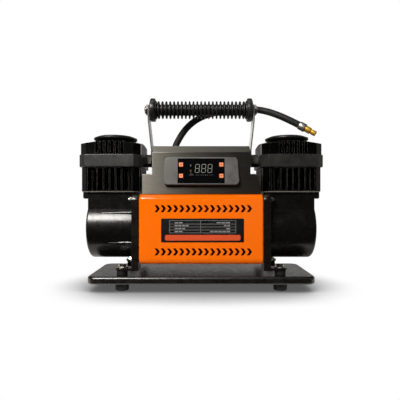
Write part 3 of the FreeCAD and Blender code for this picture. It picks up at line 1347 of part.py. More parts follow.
faults = []
for thing in doc.Objects:
    if "Invalid" in thing.State or "Error" in thing.State:
        faults.append("%s (%s): %s" % (thing.Name, thing.Label, thing.State))
for thing in nodes:
    if thing.Shape.isNull() or not thing.Shape.isValid():
        faults.append("%s: no valid shape" % thing.Label)
if faults:
    raise RuntimeError("; ".join(faults))
for thing in nodes:
    thing.Shape.exportStep("parts/%s.step" % thing.Label)
    print("%-24s solids %2d volume %10.1f" % (thing.Label, len(thing.Shape.Solids), thing.Shape.Volume))
print(len(nodes), "nodes")
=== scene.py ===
"""Looks of the twin stack compressor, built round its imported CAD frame. Metres, +Z up, front -Y."""
import json
import math

import bmesh
import bpy
from mathutils import Matrix, Vector


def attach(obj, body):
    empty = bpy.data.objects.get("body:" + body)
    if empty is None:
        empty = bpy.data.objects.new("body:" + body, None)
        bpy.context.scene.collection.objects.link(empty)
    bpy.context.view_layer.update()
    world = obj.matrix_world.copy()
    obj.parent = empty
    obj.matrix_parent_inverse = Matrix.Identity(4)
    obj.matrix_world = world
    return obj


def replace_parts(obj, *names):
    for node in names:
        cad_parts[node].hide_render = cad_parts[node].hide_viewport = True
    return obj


MM = 0.001

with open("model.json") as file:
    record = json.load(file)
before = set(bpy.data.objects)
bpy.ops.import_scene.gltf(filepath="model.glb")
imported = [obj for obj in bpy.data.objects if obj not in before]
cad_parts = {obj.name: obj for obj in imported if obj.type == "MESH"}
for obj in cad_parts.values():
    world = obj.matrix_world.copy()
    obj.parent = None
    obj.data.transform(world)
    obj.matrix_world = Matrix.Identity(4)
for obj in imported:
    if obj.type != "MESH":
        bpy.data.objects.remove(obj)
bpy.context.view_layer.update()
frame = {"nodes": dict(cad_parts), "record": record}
nodes = frame["nodes"]


# ---- material helpers ----

def ramp(tree, value, low, high, low_out=0.0, high_out=1.0):
    """Map a node's value from one range to another, held at both ends."""
    made = tree.nodes.new("ShaderNodeMapRange")
    made.clamp = True
    tree.links.new(value, made.inputs["Value"])
    made.inputs["From Min"].default_value = low
    made.inputs["From Max"].default_value = high
    made.inputs["To Min"].default_value = low_out
    made.inputs["To Max"].default_value = high_out
    return made.outputs["Result"]


class Finish:
    """A procedural material: one principled surface and the nodes that feed it."""

    def __init__(self, name, roughness=0.5, metallic=0.0):
        self.material = bpy.data.materials.new(name)
        self.material.use_nodes = True
        self.tree = self.material.node_tree
        self.surface = self.tree.nodes["Principled BSDF"]
        self.surface.inputs["Roughness"].default_value = roughness
        self.surface.inputs["Metallic"].default_value = metallic
        self.place = self.add("ShaderNodeTexCoord").outputs["Object"]

    def add(self, kind, **settings):
        made = self.tree.nodes.new(kind)
        for key, value in settings.items():
            setattr(made, key, value)
        return made

    def feed(self, socket, value):
        """Connect a node's output to an input, or set the input's plain value."""
        if isinstance(value, bpy.types.NodeSocket):
            self.tree.links.new(value, socket)
        else:
            socket.default_value = value

    def stretched(self, x=1.0, y=1.0, z=1.0):
        """Object coordinates scaled along each axis, for brushed or drawn grain."""
        mapping = self.add("ShaderNodeMapping")
        self.feed(mapping.inputs["Vector"], self.place)
        mapping.inputs["Scale"].default_value = (x, y, z)
        return mapping.outputs["Vector"]

    def noise(self, size, detail=3.0, vector=None):
        """Noise whose features are about size metres across."""
        made = self.add("ShaderNodeTexNoise")
        self.feed(made.inputs["Vector"], vector or self.place)
        made.inputs["Scale"].default_value = 1.0 / size
        made.inputs["Detail"].default_value = detail
        made.inputs["Roughness"].default_value = 0.55
        return made.outputs["Fac"]

    def spread(self, value, low, high, low_out=0.0, high_out=1.0):
        return ramp(self.tree, value, low, high, low_out, high_out)

    def math(self, operation, first, second=0.0):
        made = self.add("ShaderNodeMath", operation=operation)
        self.feed(made.inputs[0], first)
        self.feed(made.inputs[1], second)
        return made.outputs["Value"]

    def away(self, value, mark):
        """How far a value lies from a mark."""
        return self.math("ABSOLUTE", self.math("SUBTRACT", value, mark))

    def axes(self, vector):
        """A vector's parts, reached by the names X, Y and Z."""
        parts = self.add("ShaderNodeSeparateXYZ")
        self.feed(parts.inputs[0], vector)
        return parts.outputs

    def mix(self, share, first, second):
        made = self.add("ShaderNodeMix", data_type="RGBA")
        self.feed(made.inputs["Factor"], share)
        colours = [item for item in made.inputs if item.type == "RGBA"]
        self.feed(colours[0], first)
        self.feed(colours[1], second)
        return [item for item in made.outputs if item.type == "RGBA"][0]

    def edges(self, width, strength):
        """The strength on sharp outer edges, fading to 0 over width metres."""
        soft = self.add("ShaderNodeBevel", samples=4)
        soft.inputs["Radius"].default_value = width
        geometry = self.add("ShaderNodeNewGeometry")
        dot = self.add("ShaderNodeVectorMath", operation="DOT_PRODUCT")
        self.feed(dot.inputs[0], soft.outputs["Normal"])
        self.feed(dot.inputs[1], geometry.outputs["Normal"])
        return self.spread(dot.outputs["Value"], 0.97, 0.75, 0.0, strength)

    def bump(self, height, depth):
        """Tilt the surface by a height map; depth is its full height in metres."""
        made = self.add("ShaderNodeBump")
        made.inputs["Distance"].default_value = depth
        self.feed(made.inputs["Height"], height)
        self.feed(self.surface.inputs["Normal"], made.outputs["Normal"])

    def colour(self, value):
        self.feed(self.surface.inputs["Base Color"], value)

    def roughness(self, value):
        self.feed(self.surface.inputs["Roughness"], value)

    def shine(self, level):
        """How strongly the surface mirrors straight on; 0.5 is ordinary paint."""
        self.surface.inputs["Specular IOR Level"].default_value = level


def srgb(red, green, blue):
    """A colour given as 0 to 255 screen values, as linear light."""
    def linear(value):
        value /= 255.0
        return value / 12.92 if value <= 0.04045 else ((value + 0.055) / 1.055) ** 2.4
    return (linear(red), linear(green), linear(blue), 1.0)


def paint(name, base, worn_and_highlight, roughness, grain=0.9 * MM, grain_depth=0.02 * MM, mottle=0.12,
          edge_width=0.5 * MM, edge_share=0.3, shine=0.5):
    """Paint or powder coat: fine orange peel, slight mottle, and lighter edges that are part rubbed
    wear, part painted highlight.
    """
    finish = Finish(name)
    cloud = finish.noise(18 * MM, 4)
    shade = finish.mix(finish.spread(cloud, 0.35, 0.7, 0.0, mottle), base, worn_and_highlight)
    # Sharp edges lean to the pale colour: rubbed wear and painted highlight.
    finish.colour(finish.mix(finish.edges(edge_width, edge_share), shade, worn_and_highlight))
    smudge = finish.noise(9 * MM, 5)
    finish.roughness(finish.spread(smudge, 0.3, 0.7, roughness * 0.85, roughness * 1.2))
    finish.bump(finish.noise(grain, 2), grain_depth)
    finish.shine(shine)
    return finish


def painted(*values, **more):
    return paint(*values, **more).material


def darker(colour, share):
    return tuple(value * share for value in colour[:3]) + (1.0,)


def metal(name, base, roughness, grain=(1.0, 1.0, 1.0), depth=0.006 * MM):
    """Bare or plated metal with drawn or turned grain and faint stains."""
    finish = Finish(name, metallic=1.0)
    streak = finish.noise(0.4 * MM, 3, vector=finish.stretched(*grain))
    cloud = finish.noise(7 * MM, 4)
    stain = darker(base, 0.6)
    finish.colour(finish.mix(finish.spread(cloud, 0.45, 0.75, 0.0, 0.5), base, stain))
    finish.roughness(finish.spread(streak, 0.3, 0.7, roughness * 0.75, roughness * 1.3))
    finish.bump(streak, depth)
    return finish.material


def moulded(name, base, roughness, dust=0.08, pale=(0.25, 0.25, 0.24, 1.0), shine=0.5):
    """Moulded plastic or rubber: fine leathery grain, a little dust in it, and lighter edges that are
    part wear, part painted highlight.
    """
    finish = Finish(name)
    cloud = finish.noise(12 * MM, 5)
    shade = finish.mix(finish.spread(cloud, 0.4, 0.75, 0.0, dust), base, pale)
    # Sharp edges lean to the pale colour: wear and painted highlight.
    finish.colour(finish.mix(finish.edges(0.4 * MM, 0.18), shade, pale))
    finish.roughness(finish.spread(cloud, 0.3, 0.7, roughness * 0.85, roughness * 1.15))
    finish.bump(finish.noise(0.5 * MM, 3), 0.015 * MM)
    finish.shine(shine)
    return finish.material


def brushed_gunmetal():
    """The control housing: dark metal brushed crosswise, so highlights smear up and down."""
    finish = Finish("housing_grey", metallic=1.0)
    streak = finish.noise(0.7 * MM, 3, vector=finish.stretched(0.04, 1.0, 1.0))
    base, worn_and_highlight = srgb(114, 111, 104), srgb(156, 153, 145)
    shade = finish.mix(finish.spread(streak, 0.35, 0.7, 0.0, 0.25), base, worn_and_highlight)
    # Sharp edges lean to the pale colour: wear and painted highlight.
    finish.colour(finish.mix(finish.edges(0.5 * MM, 0.4), shade, worn_and_highlight))
    cloud = finish.noise(14 * MM, 4)
    finish.roughness(finish.spread(cloud, 0.3, 0.7, 0.42, 0.47))
    finish.surface.inputs["Anisotropic"].default_value = 0.9
    upward = finish.add("ShaderNodeCombineXYZ")
    upward.inputs["Z"].default_value = 1.0
    finish.feed(finish.surface.inputs["Tangent"], upward.outputs[0])
    return finish.material


# Pale colours for mottle and for sharp edges; on edges they are part wear, part painted highlight.
RUBBED_AND_HIGHLIGHT = srgb(60, 58, 55)
DUST_AND_HIGHLIGHT = srgb(70, 69, 66)


VENT_REACH = 80 * MM
VENTS_LOW = 45 * MM
VENTS_HIGH = 122 * MM


def vented_orange():
    """The front cover's paint, with painted shade on the vents' cut walls."""
    finish = paint("vented_orange", srgb(196, 85, 0), srgb(216, 112, 20), 0.15, grain=1.1 * MM,
                   grain_depth=0.003 * MM, mottle=0.02, edge_share=0.1, shine=0.3)
    facing = finish.axes(finish.add("ShaderNodeNewGeometry").outputs["True Normal"])
    spot = finish.axes(finish.place)
    shaded_vent_wall = finish.math("LESS_THAN", finish.math("ABSOLUTE", facing["Y"]), 0.6)
    between = finish.math("LESS_THAN", finish.math("ABSOLUTE", spot["X"]), VENT_REACH)
    above = finish.math("GREATER_THAN", spot["Z"], VENTS_LOW)
    below = finish.math("LESS_THAN", spot["Z"], VENTS_HIGH)
    near_vents = finish.math("MULTIPLY", between, finish.math("MULTIPLY", above, below))
    coat = finish.surface.inputs["Base Color"].links[0].from_socket
    # The vents' cut walls turn dark red-brown: painted shade, so the slots read dark.
    finish.colour(finish.mix(finish.math("MULTIPLY", shaded_vent_wall, near_vents), coat, srgb(40, 8, 2)))
    return finish.material


BUTTON_ASIDE = 27.2
BUTTON_HEIGHTS = (171.8, 156.5)


def button_cap():
    """A pale orange key top with a darker rim round it."""
    finish = Finish("button_orange", 0.45)
    cloud = finish.noise(3 * MM, 3)
    top = finish.mix(finish.spread(cloud, 0.4, 0.75, 0.0, 0.2), srgb(206, 122, 72),
                     srgb(226, 150, 100))
    spot = finish.axes(finish.place)
    sideways = finish.away(finish.math("ABSOLUTE", spot["X"]), BUTTON_ASIDE * MM)
    upward = finish.math("MINIMUM", *(finish.away(spot["Z"], z * MM) for z in BUTTON_HEIGHTS))
    reach = finish.math("MAXIMUM", sideways, upward)
    finish.colour(finish.mix(finish.spread(reach, 2.2 * MM, 2.6 * MM), top, srgb(110, 36, 4)))
    finish.bump(finish.noise(0.4 * MM, 2), 0.004 * MM)
    return finish.material


def plated_brass():
    """Dull golden plate with soft turned grain."""
    finish = Finish("brass", 0.45, metallic=0.6)
    streak = finish.noise(0.3 * MM, 3, vector=finish.stretched(0.4, 1, 1))
    finish.colour(finish.mix(finish.spread(streak, 0.3, 0.7), srgb(152, 112, 22),
                             srgb(184, 144, 44)))
    finish.bump(streak, 0.006 * MM)
    return finish.material


def sheet_steel():
    """The handle arms: pale brushed faces, with painted shade on the cut edges that face front and
    back.
    """
    finish = Finish("arm_steel", 0.42, metallic=0.35)
    streak = finish.noise(0.5 * MM, 3, vector=finish.stretched(1, 1, 0.05))
    face = finish.mix(finish.spread(streak, 0.3, 0.7), srgb(236, 235, 232), srgb(250, 250, 248))
    facing = finish.axes(finish.add("ShaderNodeNewGeometry").outputs["Normal"])
    shaded_cut_edge = finish.math("GREATER_THAN", finish.math("ABSOLUTE", facing["Y"]), 0.6)
    # Edges facing front and back go dark: painted shade.
    finish.colour(finish.mix(shaded_cut_edge, face, srgb(70, 68, 64)))
    finish.bump(streak, 0.004 * MM)
    return finish.material


MATERIALS = {
    "black_powder": lambda: painted("black_powder", srgb(9, 8, 7), RUBBED_AND_HIGHLIGHT, 0.24,
                                    grain=1.0 * MM, grain_depth=0.006 * MM, mottle=0.03),
    "tray_black": lambda: painted("tray_black", srgb(7, 6, 5), RUBBED_AND_HIGHLIGHT, 0.3, grain=4.0 * MM,
                                  grain_depth=0.0004 * MM, mottle=0.02, edge_share=0.0,
                                  shine=0.9),
    "plate_black": lambda: painted("plate_black", srgb(10, 6, 4), RUBBED_AND_HIGHLIGHT, 0.27,
                                   grain=1.0 * MM, grain_depth=0.002 * MM, mottle=0.02),
    "black_gloss": lambda: painted("black_gloss", srgb(6, 5, 4), RUBBED_AND_HIGHLIGHT, 0.24, grain=3.0 * MM,
                                   grain_depth=0.0006 * MM, mottle=0.02, edge_share=0.1),
    # On the heads the pale edge lines are part wear, mostly painted highlight: a light colour laid
    # strongly on every sharp edge.
    "black_satin": lambda: painted("black_satin", srgb(2, 2, 2), srgb(120, 119, 114), 0.2,
                                   grain=0.7 * MM, grain_depth=0.003 * MM, mottle=0.0,
                                   edge_width=0.35 * MM, edge_share=0.8, shine=0.2),
    "band_grey": lambda: painted("band_grey", srgb(20, 19, 17), srgb(110, 107, 100), 0.36,
                                 grain=0.8 * MM, grain_depth=0.015 * MM, mottle=0.04,
                                 edge_width=0.5 * MM, edge_share=0.5),
    "orange_paint": vented_orange,
    "housing_grey": brushed_gunmetal,
    "bezel_grey": lambda: painted("bezel_grey", srgb(40, 38, 35), srgb(130, 127, 118), 0.5,
                                  grain=0.5 * MM, mottle=0.05, edge_width=0.5 * MM,
                                  edge_share=0.3, shine=1.0),
    "display_black": lambda: painted("display_black", srgb(4, 4, 5), srgb(20, 20, 22), 0.1,
                                     grain=4 * MM, grain_depth=0.002 * MM, mottle=0.02,
                                     edge_share=0.1),
    "button_orange": button_cap,
    "board_green": lambda: moulded("board_green", srgb(18, 84, 44), 0.4),
    "label_black": lambda: painted("label_black", srgb(8, 8, 10), srgb(44, 44, 46), 0.3,
                                   grain=0.5 * MM, grain_depth=0.004 * MM, mottle=0.05,
                                   edge_share=0.2),
    "rubber_black": lambda: moulded("rubber_black", srgb(14, 14, 14), 0.6, dust=0.04, pale=DUST_AND_HIGHLIGHT,
                                    shine=0.22),
    "grip_rubber": lambda: moulded("grip_rubber", srgb(16, 16, 15), 0.36, dust=0.1, pale=DUST_AND_HIGHLIGHT),
    "zinc_steel": lambda: metal("zinc_steel", srgb(200, 198, 190), 0.24),
    "chrome_steel": lambda: metal("chrome_steel", srgb(176, 174, 168), 0.3, depth=0.003 * MM),
    "arm_steel": sheet_steel,
    "dull_steel": lambda: metal("dull_steel", srgb(168, 166, 160), 0.45, grain=(0.4, 1, 1)),
    "machined_steel": lambda: metal("machined_steel", srgb(170, 170, 168), 0.3, grain=(0.1, 1, 1)),
    "core_steel": lambda: metal("core_steel", srgb(88, 86, 84), 0.5, grain=(4, 0.2, 0.2)),
    "ferrite": lambda: moulded("ferrite", srgb(58, 58, 60), 0.6),
    "copper": lambda: metal("copper", srgb(214, 130, 84), 0.35, grain=(1, 0.1, 0.1)),
    "carbon": lambda: moulded("carbon", srgb(38, 38, 40), 0.7),
    "black_plastic": lambda: moulded("black_plastic", srgb(12, 12, 12), 0.4, dust=0.05,
                                     pale=DUST_AND_HIGHLIGHT, shine=0.35),
    "nylon": lambda: moulded("nylon", srgb(214, 210, 196), 0.5, pale=srgb(160, 156, 140)),
    "ptfe": lambda: moulded("ptfe", srgb(228, 226, 216), 0.45, pale=srgb(170, 168, 158)),
    "gasket": lambda: moulded("gasket", srgb(128, 124, 112), 0.8, pale=srgb(160, 156, 144)),
    "raw_aluminium": lambda: metal("raw_aluminium", srgb(198, 198, 200), 0.35, grain=(0.2, 1, 1)),
    "brass": plated_brass,
}
finishes = {}


def finish_for(slot):
    """The material of a slot, made the first time that it's asked for."""
    if slot not in finishes:
        finishes[slot] = MATERIALS[slot]()
    return finishes[slot]


# ---- CAD nodes: their finish, and small rounded edges that catch light ----

# Nodes whose finish differs from their slot's.
FINISH = {"base_tray": "tray_black", "hose_fittings": "dull_steel"}
# Widths of rounded edges in millimetres; 0 is for a node that's round, or rounded already.
USUAL_ROUND = 0.4
EDGE_ROUND = {
    "base_tray": 0, "crankcase_left": 0, "crankcase_right": 0, "motor_shaft": 0,
    "air_hose": 0, "handle_grip": 0, "front_cover": 0.25, "rear_cover": 0.25,
    "control_housing": 0.3, "display_bezel": 0.3, "rating_plate": 0.12, "quick_plug": 0.25,
    "hose_fittings": 0.3,
}


def soften(thing, width):
    """Weld split corners, then round sharp edges by width millimetres."""
    weld = thing.modifiers.new("weld", "WELD")
    weld.merge_threshold = 0.002 * MM
    bevel = thing.modifiers.new("round", "BEVEL")
    bevel.width = width * MM
    bevel.segments = 2
    bevel.limit_method = "ANGLE"
    bevel.angle_limit = math.radians(38)
    bevel.harden_normals = True
    bevel.use_clamp_overlap = True


def dress_cad_nodes():
    for part in frame["record"]["subparts"]:
        thing = nodes[part["node"]]
        thing.data.materials.clear()
        thing.data.materials.append(finish_for(FINISH.get(part["node"], part["material_slot"])))
        width = EDGE_ROUND.get(part["node"], USUAL_ROUND)
        if width:
            soften(thing, width)


# ---- shapes: all sizes in millimetres, turned into metres when the piece is made ----

def skin(bm, rings):
    """Close a body from rings of points, each ring joined to the next, both ends capped."""
    made = [[bm.verts.new(point) for point in ring] for ring in rings]
    for low, high in zip(made, made[1:]):
        for i in range(len(low)):
            j = (i + 1) % len(low)
            bm.faces.new((low[i], low[j], high[j], high[i]))
    bm.faces.new(made[0][::-1])
    bm.faces.new(made[-1])


def turned(bm, profile, place, steps=40):
    """Turn a profile of (distance along, radius) about the local Z axis."""
    rings = []
    for along, radius in profile:
        angles = [math.tau * i / steps for i in range(steps)]
        rings.append([place @ Vector((radius * math.cos(t), radius * math.sin(t), along))
                      for t in angles])
    skin(bm, rings)


def arc(along, radius, size, start, end, steps=5):
    """Profile points round an arc; angles in degrees from the axis direction towards outside."""
    points = []
    for i in range(steps + 1):
        t = math.radians(start + (end - start) * i / steps)
        points.append((along + size * math.cos(t), radius + size * math.sin(t)))
    return points


def hex_radius(angle, corner):
    """Distance from the middle of a hexagon to its side, in the direction of an angle."""
    flat = corner * math.cos(math.radians(30))
    return flat / math.cos((angle % math.radians(60)) - math.radians(30))


def hex_ring(corner, along, place, steps=48, slope=0.0):
    """A hexagonal ring of points; slope pulls corners back, as a chamfer turned on a nut does."""
    flat = corner * math.cos(math.radians(30)) * 0.98
    ring = []
    for i in range(steps):
        t = math.tau * i / steps
        radius = hex_radius(t, corner)
        back = max(0.0, radius - flat) * slope
        ring.append(place @ Vector((radius * math.cos(t), radius * math.sin(t), along - back)))
    return ring


def round_ring(radius, along, place, steps=48):
    return [place @ Vector((radius * math.cos(math.tau * i / steps),
                            radius * math.sin(math.tau * i / steps), along))
            for i in range(steps)]


def hex_body(bm, corner, low, high, place, both=False, dish=0.0):
    """A nut or bolt head: hexagonal sides, turned chamfer on top, and below too if both."""
    flat = corner * math.cos(math.radians(30)) * 0.98
    rings = []
    if both:
        rings.append(round_ring(flat, low, place))
        rings.append(hex_ring(corner, low + 0.02, place, slope=-0.5))
    else:
        rings.append(hex_ring(corner, low, place))
    rings.append(hex_ring(corner, high - 0.02, place, slope=0.5))
    rings.append(round_ring(flat, high, place))
    if dish:
        rings.append(round_ring(flat * 0.72, high, place))
        rings.append(round_ring(flat * 0.62, high - dish, place))
    skin(bm, rings)


def washer(bm, radius, hole, low, high, place):
    """A flat ring with both outer edges broken."""
    edge = (high - low) * 0.3
    turned(bm, [(low, hole), (low, radius - edge), (low + edge, radius), (high - edge, radius),
                (high, radius - edge), (high, hole)], place)


def plaque(bm, outline, front, back, rim, place):
    """A flat raised shape with a bevelled rim; outline goes anticlockwise seen from the front."""
    count = len(outline)
    inner = []
    for i in range(count):
        before, here, after = (Vector(outline[(i + k) % count]) for k in (-1, 0, 1))
        first, second = (here - before).normalized(), (after - here).normalized()
        normals = Vector((-first.y, first.x)), Vector((-second.y, second.x))
        middle = (normals[0] + normals[1]).normalized()
        inner.append(here + middle * (rim / max(0.3, middle.dot(normals[0]))))
    rings = [[place @ Vector((x, back, z)) for x, z in outline],
             [place @ Vector((x, front + rim, z)) for x, z in outline],
             [place @ Vector((x, front, z)) for x, z in inner]]
    skin(bm, rings)


def rounded_outline(left, right, low, high, corner, steps=6):
    """A rectangle with round corners, anticlockwise."""
    points = []
    for x, z, start in ((right - corner, low + corner, -90), (right - corner, high - corner, 0),
                        (left + corner, high - corner, 90), (left + corner, low + corner, 180)):
        for i in range(steps + 1):
            t = math.radians(start + 90 * i / steps)
            points.append((x + corner * math.cos(t), z + corner * math.sin(t)))
    return points


def bar(left, right, low, high):
    return [(left, low), (right, low), (right, high), (left, high)]


def smooth_line(points, samples=10):
    """A cubic B-spline through the run of points, clamped to both ends."""
    run = [points[0]] * 2 + list(points) + [points[-1]] * 2
    line = []
    for a, b, c, d in zip(run, run[1:], run[2:], run[3:]):
        for i in range(samples):
            t = i / samples
            line.append((a * (1 - t) ** 3 + b * (3 * t ** 3 - 6 * t ** 2 + 4)
                         + c * (-3 * t ** 3 + 3 * t ** 2 + 3 * t + 1) + d * t ** 3) / 6)
    return line + [points[-1]]


def tube(bm, line, radius, steps=28):
    """Sweep a circle along a line without twisting it."""
    line = [p for i, p in enumerate(line) if i == 0 or (p - line[i - 1]).length > 1e-4]
    side = Vector((0, 1, 0))
    rings = []
    for i, point in enumerate(line):
        ahead = (line[min(i + 1, len(line) - 1)] - line[max(i - 1, 0)]).normalized()
        side = (side - ahead * side.dot(ahead)).normalized()
        up = ahead.cross(side)
        rings.append([point + (side * math.cos(t) + up * math.sin(t)) * radius
                      for t in (math.tau * k / steps for k in range(steps))])
    skin(bm, rings)


def piece(name, bm, body, slot, finish=None, sharp=35):
    """Turn a bmesh in millimetres into a piece of the object that rides on a body."""
    bmesh.ops.recalc_face_normals(bm, faces=bm.faces)
    bmesh.ops.scale(bm, vec=(MM, MM, MM), verts=bm.verts)
    mesh = bpy.data.meshes.new(name)
    bm.to_mesh(mesh)
    bm.free()
    mesh.shade_smooth()
    mesh.set_sharp_from_angle(angle=math.radians(sharp))
    mesh.materials.append(finish or finish_for(slot))
    thing = bpy.data.objects.new(name, mesh)
    bpy.context.scene.collection.objects.link(thing)
    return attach(thing, body)


def pointing(axis, x=0.0, y=0.0, z=0.0):
    """Where a turned shape stands and which way its own Z points."""
    turn = Vector(axis).to_track_quat("Z", "Y").to_matrix().to_4x4()
    return Matrix.Translation((x, y, z)) @ turn


# ---- bolts, nuts and screws ----

EAR_TOP = 31.0
BOLT_ASIDE = 109.0
BOLT_DEPTH = 38.0
BOLT_RADIUS = 3.0
MOTOR_HEIGHT = 84.0
PLATE_OUTER = 94.5
ROD_OFFSET = 41.0
ROD_REACH = 100.0
ROD_RADIUS = 2.0
NUT_CORNER = 3.7
NUT_HEIGHT = 3.2
SCREW_CIRCLE = 33.0
SCREWS_PER_COVER = 5
COVER_FACE = 157.0
SHOULDER_TOP = 159.2
SHOULDER_SCREWS = (75.0, 20.0)


def make_mount_bolts():
    """Four bolts up and down through the ears: washer and dished head above, nut in the foot."""
    bm = bmesh.new()
    for x in (-BOLT_ASIDE, BOLT_ASIDE):
        for y in (-BOLT_DEPTH, BOLT_DEPTH):
            place = pointing((0, 0, 1), x, y)
            washer(bm, 8.2, BOLT_RADIUS, EAR_TOP, EAR_TOP + 1, place)
            hex_body(bm, 5.2, EAR_TOP + 1, EAR_TOP + 4.5, place, dish=0.5)
            turned(bm, [(1.5, BOLT_RADIUS - 0.6), (2.1, BOLT_RADIUS),
                        (EAR_TOP + 1, BOLT_RADIUS)], place)
            hex_body(bm, 5, 4, 8, place, both=True)
    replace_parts(piece("bolts_and_washers", bm, "root", "zinc_steel"), "mount_bolts")


def make_tie_rods():
    """Four rods along the motor with a nut outside each end plate."""
    bm = bmesh.new()
    end = 0.5
    rod = [(-ROD_REACH, ROD_RADIUS - end), (-ROD_REACH + 0.6, ROD_RADIUS),
           (ROD_REACH - 0.6, ROD_RADIUS), (ROD_REACH, ROD_RADIUS - end)]
    for y in (-ROD_OFFSET, ROD_OFFSET):
        for z in (-ROD_OFFSET, ROD_OFFSET):
            place = pointing((1, 0, 0), 0, y, MOTOR_HEIGHT + z)
            turned(bm, rod, place, 24)
            for low in (PLATE_OUTER, -PLATE_OUTER - NUT_HEIGHT):
                hex_body(bm, NUT_CORNER, low, low + NUT_HEIGHT, place, both=True)
    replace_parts(piece("tie_rods_and_nuts", bm, "root", "zinc_steel"), "tie_rods")


def screw_head(bm, radius, height, socket, place):
    """A round head with a soft rim and a hexagonal socket."""
    edge = height * 0.45
    profile = [(0, radius)] + arc(height - edge, radius - edge, edge, 90, 0)
    rings = [round_ring(r, along, place) for along, r in profile]
    rings.append(hex_ring(socket, height, place))
    rings.append(hex_ring(socket, height * 0.25, place))
    skin(bm, rings)


def make_cover_screws():
    """A ring of screws on each crankcase cover, and four on the housing's shoulders."""
    bm = bmesh.new()
    head, socket = 3.0, 1.6
    for i in range(SCREWS_PER_COVER):
        turn = math.tau * i / SCREWS_PER_COVER
        y, z = SCREW_CIRCLE * math.sin(turn), MOTOR_HEIGHT + SCREW_CIRCLE * math.cos(turn)
        for side in (-1, 1):
            place = pointing((side, 0, 0), side * COVER_FACE, y, z)
            screw_head(bm, head, 1.4, socket, place)
    across, deep = SHOULDER_SCREWS
    for x in (-across, across):
        for y in (-deep, deep):
            screw_head(bm, head, 2, socket, pointing((0, 0, 1), x, y, SHOULDER_TOP))
    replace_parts(piece("case_and_shoulder_screws", bm, "root", "zinc_steel"), "cover_screws")


# ---- handle ----

GRIP_HEIGHT = 256.8
GRIP_RINGS = 23


def grip_profile():
    """The grip from end to end: flange, collar, rings, collar, flange."""
    half, core, ring, pitch = 75.6, 8.15, 13.0, 5.7
    left = [(-half, 4.1), (-half, 12.5), (-half + 0.9, 15.4)]
    left += arc(-half + 2.6, 15.6, 1.4, 165, 90, 4) + arc(-half + 6.6, 15.6, 1.4, 90, 0, 4)
    left += [(-half + 8, 13.2)] + arc(-half + 9.2, 12.2, 1, 90, 0, 4)
    left += [(-half + 10.4, core + 0.6), (-half + 10.8, core)]
    rings = []
    for i in range(GRIP_RINGS):
        x = pitch * (i - (GRIP_RINGS - 1) / 2)
        rings += [(x - 2.1, core), (x - 1.6, core + 0.5), (x - 1.25, ring - 1)]
        rings += arc(x, ring - 1, 1.0, 165, 15, 5)
        rings += [(x + 1.25, ring - 1), (x + 1.6, core + 0.5), (x + 2.1, core)]
    right = [(-along, radius) for along, radius in reversed(left)]
    return left + rings + right


def make_grip():
    bm = bmesh.new()
    turned(bm, grip_profile(), pointing((1, 0, 0), 0, 0, GRIP_HEIGHT), 48)
    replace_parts(piece("ringed_grip", bm, "handle", "grip_rubber", sharp=60), "handle_grip")


def make_handle_nuts():
    """The rod through the grip and a domed cap nut on each end of it."""
    bm = bmesh.new()
    turned(bm, [(-81, 4), (81, 4)], pointing((1, 0, 0), 0, 0, GRIP_HEIGHT), 32)
    for side in (-1, 1):
        place = pointing((side, 0, 0), side * 77.8, 0, GRIP_HEIGHT)
        hex_body(bm, 8.6, 0, 3.4, place, both=True)
        dome = [(3.2, 6.6)] + [(3.2 + 3.1 * math.sin(t), 6.6 * math.cos(t))
                               for t in (math.radians(a) for a in range(10, 86, 15))]
        turned(bm, dome, place)
    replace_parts(piece("handle_rod_and_nuts", bm, "handle", "chrome_steel"), "handle_rod")


# ---- hose ----

def make_hose():
    """The bent hose, swept smoothly from the roof's fitting to the ferrule, and along it."""
    start = Vector((-40, 27, 202))
    end = Vector((143, -8, 233.2))
    along_ferrule = Vector((0.8004, -0.2803, -0.5299))
    points = [start, start + Vector((0, 0, 4)), start + Vector((1, 0, 8)),
              start + Vector((10, 0, 24)), start + Vector((19.5, 0, 36.5)),
              start + Vector((40, 0, 52.5)), start + Vector((82, 0, 62)),
              end + Vector((-58, 29, 31)), end + Vector((-33, 12.5, 19.8)),
              end - along_ferrule * 10, end]
    bm = bmesh.new()
    tube(bm, smooth_line(points), 5)
    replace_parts(piece("smooth_hose", bm, "root", "rubber_black", sharp=70), "air_hose")


# ---- label and display print ----

def ink(name, colour, roughness=0.5, glow=0.0):
    """Screen-printed ink with a faint weave; with glow, it also gives a faint painted glow."""
    finish = Finish(name, roughness)
    weave = finish.noise(0.6 * MM, 2)
    shade = finish.mix(finish.spread(weave, 0.3, 0.7, 0.0, 0.6), colour, darker(colour, 0.8))
    finish.colour(shade)
    finish.bump(weave, 0.003 * MM)
    if glow:
        finish.feed(finish.surface.inputs["Emission Color"], shade)
        finish.surface.inputs["Emission Strength"].default_value = glow
    return finish.material


LABEL_FACE = -51.5
ROW_LINES = (91.4, 87.5, 83.4)
# Each row's height, where its first entry ends and where its second entry starts.
ROWS = ((93.4, -24.2, 20.8), (89.5, -15.9, 30.7), (85.4, -20.6, 33.9), (81.5, -24.2, 12.1))


